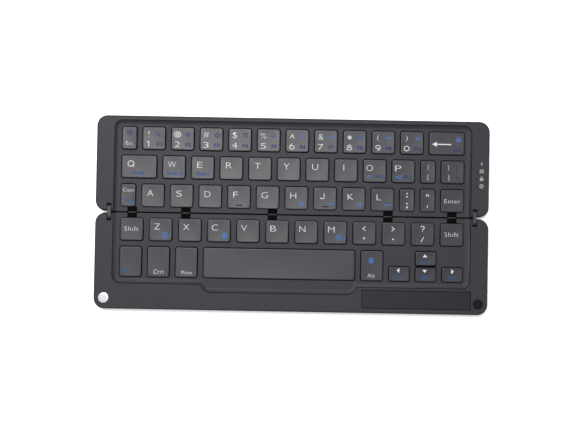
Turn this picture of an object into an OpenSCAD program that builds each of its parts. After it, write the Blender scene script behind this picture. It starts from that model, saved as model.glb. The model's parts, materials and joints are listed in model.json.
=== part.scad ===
// Pocket keyboard in two halves that fold face to face on a double-pivot hinge.
// Millimetres. X runs along the rows, Y from the user (-) to the rear (+), Z up.
// The seam between the halves lies on Y = 0 and the feet stand on Z = 0.

/* [Body] */
// Overall width
body_w = 233; // [225:1:245]
// Depth of each half, from the middle of the seam to its far edge
half_d = 57.3; // [57:0.1:60]
// Width of the raised border at the left and right, to the foot of its step
side_border = 13.4; // [11.8:0.1:14]
// Width of the raised border along the rear edge, to the foot of its step
rear_border = 5.4; // [3.6:0.1:6]
// Width of the raised border along the front edge, to the foot of its step
front_border = 18; // [15:0.1:18.4]
// Deck between the step's foot and the key wells at the rear
rear_margin = 0.9; // [0.6:0.05:2.5]
// Radius of the four plan corners of each half
corner_r = 6.2; // [5:0.1:7]
// Height from the underside to the top of the raised border
shell_h = 5.95; // [5.8:0.05:6.6]
// Height of the raised border above the deck that the keys stand in
border_h = 1.2; // [1:0.05:1.4]
// Plan width of the soft step between the deck and the border
step_w = 2.8; // [1.2:0.1:3]
// Width of the fine groove along the top of that step
groove_w = 0.3; // [0.2:0.05:0.4]
// Depth of that groove
groove_h = 0.4; // [0.2:0.05:0.5]
// How much further the deck reaches forward in front of the space bar
space_dip = 4.6; // [2:0.1:5.5]
// Slant of the left end of that reach
dip_taper = 2.9; // [2:0.1:4.5]
// Rounding of the right end of that reach
dip_round = 4.5; // [1:0.1:4.6]
// Rounding of the top outer edges
edge_r = 0.8; // [0.4:0.1:1]
// Rounding of the bottom outer edges
base_edge_r = 0.9; // [0.4:0.1:1.2]
// Thickness of the side walls
wall_t = 1.6; // [1.2:0.1:2]
// Thickness of the deck skin
skin_t = 1.05; // [0.8:0.05:1.2]
// Thickness of the border's top over the side pockets
border_skin_t = 1.25; // [1:0.05:1.4]
// Thickness of the bottom plate
floor_t = 1; // [0.9:0.05:1.2]
// Height of the parting line between deck and base above the underside
parting_h = 2.2; // [2:0.1:2.4]

/* [Keys] */
// Distance from key to key that the letter keys are made for
key_pitch = 17; // [16:0.05:17.5]
// Web of deck between two key wells
key_web = 3.05; // [2.9:0.05:3.4]
// Width of the narrow wells at the row ends
narrow_w = 9.15; // [8.4:0.05:9.8]
// Width of the wide wells at the row ends
wide_w = 21.3; // [18:0.1:23]
// Width of the whole key field
field_w = 203.5; // [202:0.5:206]
// Distance from the middle of the seam to the first key well
seam_to_keys = 3.05; // [3.05:0.05:3.4]
// Width of the modifier wells in the bottom row
modifier_w = 13.45; // [12.5:0.05:14.5]
// Width of the arrow wells
arrow_w = 12.7; // [11.5:0.05:13.5]
// Depth of the bottom row's wells
bottom_row_d = 18.3; // [17:0.1:18.6]
// Corner radius of the key wells
well_r = 1.5; // [1:0.1:2]
// Gap between a keycap and its well, all round
key_clear = 0.3; // [0.2:0.05:0.4]
// How far the keycaps stand below the top of the border
key_below_border = 0.1; // [0.05:0.05:0.4]
// Height of a keycap from skirt to top
cap_h = 2.3; // [2:0.05:2.4]
// Thickness of a keycap's top
cap_t = 0.9; // [0.7:0.05:1]
// Thickness of a keycap's skirt
skirt_t = 0.8; // [0.6:0.05:1]
// Width of the bevel round a keycap's top
cap_bevel = 0.5; // [0.3:0.05:0.7]
// Length of the locating bar on the F and J caps
home_bar_l = 4; // [3:0.5:6]
// Radius of that bar, which lies half sunk in the cap
home_bar_r = 0.28; // [0.2:0.02:0.4]
// Distance of that bar from the front edge of the key well
home_bar_inset = 2.35; // [1.8:0.05:3]
// Radius of the plunger under a keycap
plunger_r = 1.5; // [1.2:0.1:1.8]
// Length of that plunger
plunger_h = 0.55; // [0.4:0.05:0.7]

/* [Hinge] */
// Distance of each hinge rod from the middle of the seam
rod_off = 2.3; // [2.3:0.05:2.35]
// Height of the hinge rods above the underside
rod_h = 3.75; // [3.75:0.05:3.8]
// Radius of the hinge rods
rod_r = 0.45; // [0.4:0.01:0.46]
// Radial clearance of the rods in the halves
rod_clear = 0.05; // [0.02:0.01:0.06]
// Gap between the halves when open
seam_gap = 0.9; // [0.8:0.05:1]
// Outline radius of the end links about the rods
end_link_r = 2.15; // [1.9:0.05:2.2]
// Width of an end link
end_link_w = 2.2; // [1.8:0.1:2.4]
// Distance of the end links from the outer side
end_link_inset = 8.2; // [7.6:0.1:8.8]
// Reach of the end link slots from the middle of the seam
end_slot_reach = 5.2; // [4.9:0.1:5.6]
// Width of the hinge notches between the keys
notch_w = 5.7; // [5:0.1:6.2]
// Radius of the knuckles of the bridge links
knuckle_r = 0.85; // [0.8:0.01:0.9]
// Clearance beside a link in its slot, on each side
link_side_clear = 0.3; // [0.2:0.05:0.4]
// Height of a bridge link's web above the rods
web_top = 0.3; // [0.2:0.05:0.4]
// Height of the ridge on a bridge link above the rods
ridge_top = 0.7; // [0.5:0.05:0.8]
// Half the width of that ridge
ridge_half = 0.4; // [0.25:0.05:0.5]

/* [Inside] */
// Thickness of the key support plates
plate_t = 0.5; // [0.4:0.05:0.6]
// Thickness of the contact sheets
sheet_t = 0.15; // [0.1:0.01:0.2]
// Width of the contact sheet's tail
film_w = 4; // [3:0.1:4.5]
// Foot radius of the silicone domes
dome_r = 2.6; // [2.2:0.1:2.8]
// Top radius of the silicone domes
dome_top_r = 1.3; // [1:0.1:1.5]
// Thickness of the circuit board
board_t = 0.8; // [0.6:0.1:1]
// Length, depth and thickness of the battery
battery_size = [70, 10.2, 2.5]; // [2:0.1:90]
// Thread radius of the case screws
screw_r = 0.8; // [0.7:0.05:0.9]
// Head radius of the case screws
screw_head_r = 1.4; // [1.2:0.05:1.5]
// Head height of the case screws
screw_head_h = 0.55; // [0.5:0.05:0.6]
// Plastic round the screw threads
boss_wall = 0.55; // [0.4:0.05:0.6]
// Radius of the stabiliser wire under the space bar
wire_r = 0.4; // [0.3:0.05:0.5]
// Length of that wire's bent arms
wire_arm = 7; // [5:0.5:8]

/* [Fittings] */
// Height of the rubber feet below the underside
foot_h = 0.8; // [0.5:0.1:1.2]
// Radius of the rubber feet
foot_r = 4; // [3:0.1:5]
// Distance of the feet from the outer side
foot_side = 18.5; // [15:0.5:30]
// Distance of the feet from the seam and from the far edge
foot_end = 9; // [7:0.5:14]
// Radius of the closing magnet and of the rubber bumper
disc_r = 3.05; // [2.5:0.05:3.3]
// Gap round the top of the closing magnet
disc_gap = 0.25; // [0.1:0.05:0.3]
// Distance of their centres from the outer side
disc_side = 5.8; // [5.6:0.1:6.4]
// Distance of their centres from the front edge
disc_front = 6.4; // [6.2:0.1:7]
// Thickness of the closing magnet
magnet_t = 2.2; // [1.8:0.1:2.4]
// Thickness of the hidden magnet that catches it
catch_magnet_t = 1.5; // [1:0.1:1.7]
// Thickness of the bumper
bumper_t = 1.3; // [1:0.1:1.5]
// How far the bumper stands proud of the border
bumper_proud = 0.12; // [0.05:0.01:0.15]
// Radius of the indicator light pipes
lamp_r = 0.35; // [0.3:0.05:0.5]
// Spacing of the indicator light pipes
lamp_pitch = 4.42; // [3.8:0.02:4.6]
// Distance of the first light pipe from the seam
lamp_v = 19; // [17:0.1:22]
// Distance of the light pipes from the outer side
lamp_side = 7.7; // [7.2:0.1:8.2]
// Width and height of the charging socket
socket_size = [7.5, 2.5]; // [2.2:0.1:9]
// Depth of the charging socket
socket_depth = 5.6; // [5:0.1:6]
// Length of the plain plate at the front right
label_l = 64.6; // [40:1:70]
// Depth of that plate's recess
label_depth = 0.15; // [0.1:0.05:0.3]

/* [Hidden] */
$fn = 48;
eps = 0.01;

half_w = body_w / 2;
inner_w = half_w - wall_t;
inner_d = half_d - wall_t;
field_edge = half_w - side_border;
field_x = -field_w / 2;
narrow_step = narrow_w + key_web;
column_pitch = (field_w - narrow_step - wide_w) / 10;
row_pitch = (half_d - rear_border - rear_margin - seam_to_keys + key_web) / 3;
key_hole = key_pitch - key_web;
row_hole = row_pitch - key_web;
end_hole = column_pitch - key_web;

// Heights
base_z = foot_h;
floor_z = base_z + floor_t;
parting_z = base_z + parting_h;
border_z = base_z + shell_h;
deck_z = border_z - border_h;
ceiling_z = deck_z - skin_t;
pocket_ceiling_z = border_z - border_skin_t;
rod_z = base_z + rod_h;
plate_z = floor_z + plate_t;
sheet_z = plate_z + sheet_t;
board_z = floor_z + board_t;
cap_z = border_z - key_below_border;
cap_skirt_z = cap_z - cap_h;
cap_under_z = cap_z - cap_t;

// Distances from the seam, called v
function row_v(n) = seam_to_keys + n * row_pitch;
seam_v = seam_gap / 2;
front_step_v = half_d - front_border;

// Runs of key wells: [node, x of the left edge, v of the edge nearest the seam, width, depth]
function run(nodes, x, v, w, pitch, d) =
    [for (i = [0 : len(nodes) - 1]) [nodes[i], field_x + x + i * pitch, v, w, d]];
function letters(names) = [for (c = names) str("key_", c)];
function same(name, count) = [for (i = [1 : count]) name];

shift_pitch = (field_w - key_hole) / 11;
home_row = concat(
    run(["corner_keys"], 0, row_v(0), narrow_w, 0, row_hole),
    run(letters("asdfghjkl"), narrow_step, row_v(0), key_hole, column_pitch, row_hole),
    run(same("rear_symbol_keys", 2), field_w - end_hole - 2 * narrow_step, row_v(0),
        narrow_w, narrow_step, row_hole),
    run(["key_enter"], field_w - end_hole, row_v(0), end_hole, 0, row_hole));
top_row = concat(
    run(["key_q"], 0, row_v(1), wide_w, 0, row_hole),
    run(letters("wertyuiop"), wide_w + key_web, row_v(1), key_hole, column_pitch, row_hole),
    run(["rear_symbol_keys"], field_w - end_hole - narrow_step, row_v(1), narrow_w, 0, row_hole),
    run(["rear_symbol_keys"], field_w - end_hole, row_v(1), end_hole, 0, row_hole));
number_row = concat(
    run(["corner_keys"], 0, row_v(2), narrow_w, 0, row_hole),
    run(same("number_keys", 10), narrow_step, row_v(2), key_hole, column_pitch, row_hole),
    run(["key_backspace"], field_w - wide_w, row_v(2), wide_w, 0, row_hole));
shift_row = run(
    concat(["modifier_keys"], letters("zxcvbnm"), same("front_symbol_keys", 3), ["modifier_keys"]),
    0, row_v(0), key_hole, shift_pitch, row_hole);
modifier_pitch = modifier_w + key_web;
arrow_pitch = arrow_w + key_web;
arrows_x = field_w - 3 * arrow_w - 2 * key_web;
alt_x = arrows_x - modifier_pitch;
space_x = 3 * modifier_pitch;
space_w = alt_x - key_web - space_x;
arrow_d = bottom_row_d / 2;
bottom_row = concat(
    run(same("modifier_keys", 3), 0, row_v(1), modifier_w, modifier_pitch, bottom_row_d),
    run(["key_space"], space_x, row_v(1), space_w, 0, bottom_row_d),
    run(["modifier_keys"], alt_x, row_v(1), modifier_w, 0, bottom_row_d),
    run(["arrow_keys"], arrows_x + arrow_pitch, row_v(1), arrow_w, 0, arrow_d),
    run(same("arrow_keys", 3), arrows_x, row_v(1) + arrow_d, arrow_w, arrow_pitch, arrow_d));
rear_keys = concat(home_row, top_row, number_row);
front_keys = concat(shift_row, bottom_row);

// Hinge: a notch lies where a well of the home row and a well of the shift row face each other
function notch_between(home, shift) =
    field_x + (narrow_step + home * column_pitch + key_hole + shift * shift_pitch) / 2;
end_notch_x = (field_w - key_hole) / 2;
bridge_x = [-end_notch_x, notch_between(1, 2), notch_between(4, 5), notch_between(8, 9), end_notch_x];
flex_bridge_index = 2;
end_link_x = half_w - end_link_inset;
end_slot_half = end_link_w / 2 + link_side_clear;
notch_reach = rod_off + knuckle_r + 0.1;
slot_floor_z = rod_z - end_link_r - link_side_clear;
rod_end_x = end_link_x + end_link_w;

// Inside
block_v = end_slot_reach + wall_t;
cavity_side = field_edge + 0.2;
pocket_x = field_edge + step_w + 0.6;
rail_mid_x = half_w - disc_side;
disc_v = half_d - disc_front;
boss_r = screw_r + boss_wall;
screw_tip_z = ceiling_z - 0.2;
side_screw_v = [block_v + boss_r + 1, disc_v - disc_r - boss_r - 2.5];
web_screw_x = [-3.5 * column_pitch, 0, 3.5 * column_pitch];
side_screws = [for (s = [-1, 1], v = side_screw_v) [s * rail_mid_x, v]];
rear_screws_at = concat(side_screws, [for (x = web_screw_x) [x, row_v(2) - key_web / 2]]);
front_screws_at = concat(side_screws, [for (x = web_screw_x) [x, row_v(1) - key_web / 2]]);
feet_at = [for (s = [-1, 1], v = [foot_end, half_d - foot_end]) [s * (half_w - foot_side), v]];
foot_seat = 0.35 * floor_t;
foot_bevel = 0.4 * foot_h;
plate_gap = 0.35;
plate_edge = field_edge - plate_gap;
rear_plate_v = half_d - rear_border;
battery_v = inner_d - plate_gap - battery_size[1];
battery_x = foot_side - half_w;
front_plate_v = battery_v;
board_v = [side_screw_v[0] + boss_r + 1, side_screw_v[1] - boss_r - 1];
socket_v = (board_v[0] + board_v[1]) / 2;
socket_gap = 0.15;
socket_front_x = half_w - 0.25;
lamp_x = half_w - lamp_side;
seat_wall = 1;
wire_inset = 6;
wire_v = 4.5;
label_side = 9.9;
label_edge = 1.4;
label_x = [half_w - label_side - label_l, half_w - label_side];
label_v = [front_step_v + step_w + label_edge, half_d - 2 * label_edge];
dip_x = [field_x + space_x + key_clear, field_x + space_x + space_w - 3 * key_clear];

NODES = [
    "rear_deck", "rear_base", "rear_key_plate", "rear_dome_sheet", "main_board", "charge_socket",
    "indicator_lenses", "catch_magnet", "rear_feet", "rear_screws",
    "end_links", "bridge_links", "rear_hinge_rod", "front_hinge_rod", "flex_bridge",
    "front_deck", "front_base", "front_key_plate", "front_dome_sheet", "battery",
    "closing_magnet", "rubber_bumper", "front_feet", "front_screws", "space_stabilizer",
    "key_q", "key_w", "key_e", "key_r", "key_t", "key_y", "key_u", "key_i", "key_o", "key_p",
    "key_a", "key_s", "key_d", "key_f", "key_g", "key_h", "key_j", "key_k", "key_l",
    "key_z", "key_x", "key_c", "key_v", "key_b", "key_n", "key_m",
    "key_enter", "key_backspace", "key_space",
    "number_keys", "corner_keys", "rear_symbol_keys", "front_symbol_keys", "modifier_keys", "arrow_keys"];
key_nodes = [for (n = NODES) if (len([for (k = concat(rear_keys, front_keys)) if (k[0] == n) k]) > 0) n];

// Outline tools. Outlines are lists of points, anticlockwise.
function wrap(points, i) = points[(i + len(points)) % len(points)];
function unit(a) = a / norm(a);
function outward(a, b) = let (d = unit(b - a)) [d[1], -d[0]];
// The outline moved outwards by d, or inwards where d is negative
function grow(points, d) = [for (i = [0 : len(points) - 1])
    let (n1 = outward(wrap(points, i - 1), points[i]), n2 = outward(points[i], wrap(points, i + 1)))
    points[i] + d * (n1 + n2) / (1 + n1 * n2)];
// The outline with each corner turned into an arc of its own radius, with steps segments
function rounded(points, radii, steps) = [for (i = [0 : len(points) - 1])
    let (p = points[i], a = unit(wrap(points, i - 1) - p), b = unit(wrap(points, i + 1) - p),
        half = acos(a * b) / 2, r = radii[i], bend = a[0] * b[1] - a[1] * b[0] > 0 ? 1 : -1,
        centre = p + unit(a + b) * r / sin(half), out = unit(p - centre), spread = 90 - half)
    for (k = r > 0 ? [0 : steps] : [0 : 0])
        r > 0
            ? let (t = bend * spread * (1 - 2 * k / steps))
                centre + r * [out[0] * cos(t) - out[1] * sin(t), out[0] * sin(t) + out[1] * cos(t)]
            : p];
function box_points(x0, v0, x1, v1) = [[x0, v0], [x1, v0], [x1, v1], [x0, v1]];
function round_box(x0, v0, x1, v1, r, steps) =
    rounded(box_points(x0, v0, x1, v1), [r, r, r, r], steps);
function arc(centre, r, from, to, steps) =
    [for (k = [0 : steps]) let (t = from + (to - from) * k / steps) centre + r * [cos(t), sin(t)]];

// A solid through a stack of convex outlines with equal point counts: sections = [[outline, z], ...]
module loft(sections) {
    count = len(sections[0][0]);
    rings = len(sections);
    polyhedron(
        points = [for (s = sections) for (p = s[0]) [p[0], p[1], s[1]]],
        faces = concat(
            [[for (i = [0 : count - 1]) i]],
            [for (k = [0 : rings - 2]) for (i = [0 : count - 1])
                let (a = k * count + i, b = k * count + (i + 1) % count)
                [a, a + count, b + count, b]],
            [[for (i = [count - 1 : -1 : 0]) (rings - 1) * count + i]]));
}
module prism(outline, z0, z1) translate([0, 0, z0]) linear_extrude(z1 - z0) polygon(outline);
module post(at, z0, z1, r) translate([at[0], at[1], z0]) cylinder(h = z1 - z0, r = r);
module slab(x, v, z) translate([x[0], v[0], z[0]]) cube([x[1] - x[0], v[1] - v[0], z[1] - z[0]]);
// A profile drawn in (v, z) and extruded along X about x
module along_x(profile, x, w)
    translate([x - w / 2, 0, 0]) rotate([90, 0, 90]) linear_extrude(w) polygon(profile);
module rod_at(v, r, x0, x1)
    translate([x0, v, rod_z]) rotate([0, 90, 0]) cylinder(h = x1 - x0, r = r);
// The halves are drawn with v, the distance from the seam, along +Y; the front one is turned over the seam
module front() mirror([0, 1, 0]) children();

// Shells
plan = round_box(-half_w, seam_v, half_w, half_d, corner_r, 8);
cavity = rounded(
    [[-cavity_side, seam_to_keys], [cavity_side, seam_to_keys], [cavity_side, block_v],
        [inner_w, block_v], [inner_w, inner_d], [-inner_w, inner_d], [-inner_w, block_v],
        [-cavity_side, block_v]],
    [0, 0, 0, 0, corner_r - wall_t, corner_r - wall_t, 0, 0], 6);

module deck_block()
    loft([
        [plan, parting_z],
        [plan, border_z - edge_r],
        [grow(plan, -0.3 * edge_r), border_z - 0.3 * edge_r],
        [grow(plan, -edge_r), border_z]]);

// Bowl above the deck: it rises from the given outline along a parabola, to a lip step_w further out
lip_drop = groove_h / 2;
module step_bowl(foot) {
    steps = 6;
    loft(concat(
        [for (i = [0 : steps])
            let (t = i / steps) [grow(foot, t * step_w), deck_z + t * t * (border_h - lip_drop)]],
        [[grow(foot, step_w + eps), border_z + 1]]));
}
// Groove that follows the lip of several bowls together
module lip_groove(feet_of_step)
    difference() {
        for (f = feet_of_step)
            prism(grow(f, step_w + groove_w / 2), border_z - groove_h, border_z + 1);
        for (f = feet_of_step)
            prism(grow(f, step_w - groove_w / 2), border_z - 2 * groove_h, border_z + 2);
    }

module key_wells(keys)
    for (k = keys)
        prism(round_box(k[1], k[2], k[1] + k[3], k[2] + k[4], well_r, 3), ceiling_z - 1, border_z + 1);

// Clears the seam edge of the border above the rod, so that the half can roll on the link
module seam_roll() {
    clear_r = rod_off - rod_clear;
    difference() {
        slab([-half_w - 1, half_w + 1], [-1, rod_off], [rod_z, border_z + 1]);
        rod_at(rod_off, clear_r, -half_w - 2, half_w + 2);
    }
}

module hinge_cuts() {
    rod_at(rod_off, rod_r + rod_clear, -rod_end_x - rod_clear, half_w + 1);
    for (x = bridge_x)
        slab([x - notch_w / 2, x + notch_w / 2], [-1, notch_reach], [parting_z - 1, border_z + 1]);
    end_slots(border_z + 1);
}

module end_slots(top)
    for (s = [-1, 1])
        slab([s * end_link_x - end_slot_half, s * end_link_x + end_slot_half], [-1, end_slot_reach],
            [slot_floor_z, top]);

module socket_cut()
    slab([half_w - socket_depth - 1, half_w + 1],
        [socket_v - socket_size[0] / 2 - socket_gap, socket_v + socket_size[0] / 2 + socket_gap],
        [board_z - socket_gap / 3, board_z + socket_size[1] + socket_gap]);

module deck(keys, foot_outlines, screws) {
    difference() {
        union() {
            difference() {
                deck_block();
                prism(cavity, parting_z - 1, ceiling_z);
                for (s = [-1, 1])
                    slab([min(s * pocket_x, s * inner_w), max(s * pocket_x, s * inner_w)],
                        [block_v, inner_d - corner_r], [parting_z, pocket_ceiling_z]);
            }
            for (p = screws)
                post(p, parting_z, pocket_ceiling_z + 0.2, boss_r);
            children(0);
        }
        for (f = foot_outlines)
            step_bowl(f);
        lip_groove(foot_outlines);
        key_wells(keys);
        seam_roll();
        hinge_cuts();
        for (p = screws)
            post(p, parting_z - 1, screw_tip_z, screw_r);
        children(1);
    }
}

// Outline of the step's foot: it runs out past the seam
foot_corner_r = 2;
module rear_deck()
    color("#49484d")
    deck(rear_keys,
        [round_box(-field_edge, -seam_to_keys - step_w, field_edge, half_d - rear_border,
            foot_corner_r, 4)],
        rear_screws_at) {
        post([-rail_mid_x, disc_v], parting_z + eps, pocket_ceiling_z + 0.2, disc_r + seat_wall);
        union() {
            post([-rail_mid_x, disc_v], parting_z, catch_z, disc_r);
            socket_cut();
            for (i = [0 : 3])
                post([lamp_x, lamp_v + i * lamp_pitch], pocket_ceiling_z - 1, border_z + 1, lamp_r);
        }
    }

catch_z = pocket_ceiling_z - 0.3;
space_reach = [
    [dip_x[0], row_v(1)], [dip_x[1], row_v(1)], [dip_x[1], front_step_v + space_dip],
    [dip_x[0] + dip_taper, front_step_v + space_dip], [dip_x[0], front_step_v]];
module front_deck()
    color("#49484d")
    front()
    deck(front_keys,
        [round_box(-field_edge, -seam_to_keys - step_w, field_edge, front_step_v, foot_corner_r, 4),
            rounded(space_reach, [0, 0, dip_round, foot_corner_r, 1], 4)],
        front_screws_at) {
        for (s = [-1, 1])
            post([s * rail_mid_x, disc_v], border_z - magnet_t - seat_wall, border_z - 1,
                disc_r + disc_gap + seat_wall);
        union() {
            post([-rail_mid_x, disc_v], border_z - magnet_t, border_z + 1, disc_r);
            post([-rail_mid_x, disc_v], border_z - magnet_t / 3, border_z + 1, disc_r + disc_gap);
            post([rail_mid_x, disc_v], border_z - bumper_t, border_z + 1, disc_r);
            slab(label_x, label_v, [border_z - label_depth, border_z + 1]);
        }
    }

module base(screws) {
    difference() {
        loft([
            [grow(plan, -base_edge_r), base_z],
            [grow(plan, -0.3 * base_edge_r), base_z + 0.25 * base_edge_r],
            [plan, base_z + base_edge_r],
            [plan, parting_z]]);
        difference() {
            prism(cavity, floor_z, parting_z + 1);
            for (p = screws)
                post(p, floor_z - 1, parting_z + 2, boss_r);
        }
        end_slots(parting_z + 1);
        for (p = screws) {
            post(p, base_z - 1, parting_z + 1, screw_r + 0.05);
            post(p, base_z - 1, base_z + screw_head_h, screw_head_r + 0.05);
        }
        for (p = feet_at)
            post(p, base_z - 1, base_z + foot_seat, foot_r);
        tail_channel();
    }
}

// Channel for the contact sheet's tail, under the middle notch
module tail_channel()
    let (x = bridge_x[flex_bridge_index])
    slab([x - film_w / 2 - plate_gap, x + film_w / 2 + plate_gap], [-1, seam_to_keys + 0.1],
        [plate_z, parting_z + 1]);

module rear_base()
    color("#434247")
    difference() {
        base(rear_screws_at);
        socket_cut();
    }

module front_base()
    color("#434247")
    front()
    base(front_screws_at);

// Hinge pieces
module end_links()
    color("#4f4e53")
    for (s = [-1, 1])
        difference() {
            along_x(
                concat(arc([rod_off, rod_z], end_link_r, -90, 90, 16),
                    arc([-rod_off, rod_z], end_link_r, 90, 270, 16)),
                s * end_link_x, end_link_w);
            for (v = [-rod_off, rod_off])
                rod_at(v, rod_r, s * end_link_x - end_link_w, s * end_link_x + end_link_w);
        }

module bridge_links() {
    w = notch_w - 2 * link_side_clear;
    rise = asin(web_top / knuckle_r);
    right = arc([rod_off, 0], knuckle_r, -90, 180 - rise, 12);
    outline = concat(right,
        [[ridge_half, web_top], [0.7 * ridge_half, ridge_top], [-0.7 * ridge_half, ridge_top],
            [-ridge_half, web_top]],
        [for (i = [len(right) - 1 : -1 : 0]) [-right[i][0], right[i][1]]]);
    color("#19191b")
        for (x = bridge_x)
            difference() {
                along_x([for (p = outline) [p[0], p[1] + rod_z]], x, w);
                for (v = [-rod_off, rod_off])
                    rod_at(v, rod_r, x - w, x + w);
            }
}

module rear_hinge_rod() color("#a9abb0") rod_at(rod_off, rod_r, -rod_end_x, rod_end_x);
module front_hinge_rod() color("#a9abb0") rod_at(-rod_off, rod_r, -rod_end_x, rod_end_x);

module flex_bridge()
    color("#b5762d")
    let (x = bridge_x[flex_bridge_index], z = rod_z - knuckle_r)
    slab([x - film_w / 2, x + film_w / 2], [-rod_off, rod_off], [z - sheet_t, z]);

// Key support plates and contact sheets
module key_plate(end_v, screws)
    color("#8c9096")
    difference() {
        slab([-plate_edge, plate_edge], [seam_to_keys + plate_gap, end_v - plate_gap],
            [floor_z, plate_z]);
        for (p = screws)
            post(p, floor_z - 1, plate_z + 1, boss_r + plate_gap);
    }

module dome_sheet(keys, end_v, screws)
    color("#3c3f45")
    union() {
        difference() {
            slab([-plate_edge + plate_gap, plate_edge - plate_gap],
                [seam_to_keys + plate_gap, end_v - 2 * plate_gap], [plate_z, sheet_z]);
            for (p = screws)
                post(p, plate_z - 1, sheet_z + 1, boss_r + plate_gap);
        }
        let (x = bridge_x[flex_bridge_index])
            slab([x - film_w / 2, x + film_w / 2], [seam_v + plate_gap, seam_to_keys + 2 * plate_gap],
                [plate_z, sheet_z]);
        for (k = keys)
            translate([k[1] + k[3] / 2, k[2] + k[4] / 2, sheet_z - eps])
                cylinder(h = cap_under_z - plunger_h - sheet_z + eps, r1 = dome_r, r2 = dome_top_r);
    }

module rear_key_plate() key_plate(rear_plate_v, rear_screws_at);
module front_key_plate() front() key_plate(front_plate_v, front_screws_at);
module rear_dome_sheet() dome_sheet(rear_keys, rear_plate_v, rear_screws_at);
module front_dome_sheet() front() dome_sheet(front_keys, front_plate_v, front_screws_at);

// Electronics
module main_board()
    color("#1f5b3a")
    union() {
        slab([cavity_side + wall_t, inner_w - 0.2], board_v, [floor_z, board_z]);
        slab([cavity_side + wall_t + 0.6, cavity_side + wall_t + 4.2], [board_v[1] - 6, board_v[1] - 1],
            [board_z - eps, board_z + lamp_chip_h]);
        for (i = [0 : 3])
            let (v = lamp_v + i * lamp_pitch)
            slab([lamp_x - lamp_chip_h, lamp_x + lamp_chip_h], [v - lamp_chip_h, v + lamp_chip_h],
                [board_z - eps, board_z + lamp_chip_h]);
    }
lamp_chip_h = 0.6;

module charge_socket() {
    shell_t = 0.3;
    back_x = socket_front_x - socket_depth;
    side = socket_size[0] / 2;
    color("#b9bbbf")
        difference() {
            slab([back_x, socket_front_x], [socket_v - side, socket_v + side],
                [board_z, board_z + socket_size[1]]);
            difference() {
                slab([back_x + 2 * shell_t, half_w + 1],
                    [socket_v - side + shell_t, socket_v + side - shell_t],
                    [board_z + shell_t, board_z + socket_size[1] - shell_t]);
                slab([back_x, socket_front_x - 2 * shell_t],
                    [socket_v - side + 4 * shell_t, socket_v + side - 4 * shell_t],
                    [board_z + socket_size[1] / 2 - shell_t, board_z + socket_size[1] / 2 + shell_t]);
            }
        }
}

module indicator_lenses()
    color("#20242b")
    for (i = [0 : 3])
        post([lamp_x, lamp_v + i * lamp_pitch], board_z + lamp_chip_h + 0.1, border_z - 0.1, lamp_r);

module battery()
    color("#c9ccd2")
    front()
    slab([battery_x, battery_x + battery_size[0]], [battery_v, battery_v + battery_size[1]],
        [floor_z, floor_z + battery_size[2]]);

// Closing parts
module closing_magnet()
    color("#e8e9ec")
    front()
    post([-rail_mid_x, disc_v], border_z - magnet_t, border_z, disc_r);

module catch_magnet()
    color("#c4c6ca")
    post([-rail_mid_x, disc_v], catch_z - catch_magnet_t, catch_z, disc_r);

module rubber_bumper() {
    ring = disc_r / 12;
    color("#17171a")
        front()
        translate([rail_mid_x, disc_v, border_z])
        rotate_extrude()
        polygon([[0, -bumper_t], [disc_r, -bumper_t], [disc_r, -ring], [disc_r - 2 * ring, -ring],
            [disc_r - 3 * ring, bumper_proud / 2], [disc_r - 4 * ring, bumper_proud], [0, bumper_proud]]);
}

// Feet and screws
module feet()
    color("#101012")
    for (p = feet_at)
        translate([p[0], p[1], 0])
            rotate_extrude()
            polygon([[0, 0], [foot_r - foot_bevel, 0], [foot_r, foot_bevel], [foot_r, base_z + foot_seat],
                [0, base_z + foot_seat]]);

module screws(at)
    color("#8a8c90")
    for (p = at) {
        z = base_z + screw_head_h;
        difference() {
            union() {
                post(p, z - screw_head_h, z, screw_head_r);
                post(p, z - eps, screw_tip_z, screw_r);
            }
            for (turn = [0, 90])
                translate([p[0], p[1], z - screw_head_h])
                rotate([0, 0, turn])
                cube([screw_head_r, screw_head_r / 4, screw_head_h], center = true);
        }
    }
module rear_feet() feet();
module front_feet() front() feet();
module rear_screws() screws(rear_screws_at);
module front_screws() front() screws(front_screws_at);

// Keycaps: a thin-walled cap with a bevelled top and a plunger over its dome; F and J have a bar
module keycap(k) {
    outline = round_box(k[1] + key_clear, k[2] + key_clear, k[1] + k[3] - key_clear,
        k[2] + k[4] - key_clear, well_r - key_clear, 3);
    hollow = grow(outline, -skirt_t);
    centre = [k[1] + k[3] / 2, k[2] + k[4] / 2];
    union() {
        difference() {
            loft([
                [outline, cap_skirt_z],
                [grow(outline, -cap_bevel / 6), cap_z - 0.8 * cap_bevel],
                [grow(outline, -cap_bevel), cap_z]]);
            prism(hollow, cap_skirt_z - 1, cap_under_z);
        }
        post(centre, cap_under_z - plunger_h, cap_under_z + cap_t / 2, plunger_r);
        if (k[0] == "key_f" || k[0] == "key_j")
            translate([centre[0] - home_bar_l / 2, k[2] + home_bar_inset, cap_z - home_bar_r / 2])
                rotate([0, 90, 0])
                cylinder(h = home_bar_l, r = home_bar_r);
    }
}

module keys_of(name) color("#66656a") {
    for (k = rear_keys)
        if (k[0] == name) keycap(k);
    front()
        for (k = front_keys)
            if (k[0] == name) keycap(k);
}

// Wire that keeps the long space bar level
module space_stabilizer()
    color("#a9abb0")
    let (x0 = field_x + space_x + wire_inset, x1 = field_x + space_x + space_w - wire_inset,
        v = row_v(1) + bottom_row_d / 2 + wire_v, z = cap_under_z - wire_r)
    front()
    union() {
        translate([x0, v, z]) rotate([0, 90, 0]) cylinder(h = x1 - x0, r = wire_r);
        for (x = [x0 + wire_r, x1 - wire_r])
            translate([x, v, z]) rotate([90, 0, 0]) cylinder(h = wire_arm, r = 0.9 * wire_r);
    }

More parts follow.
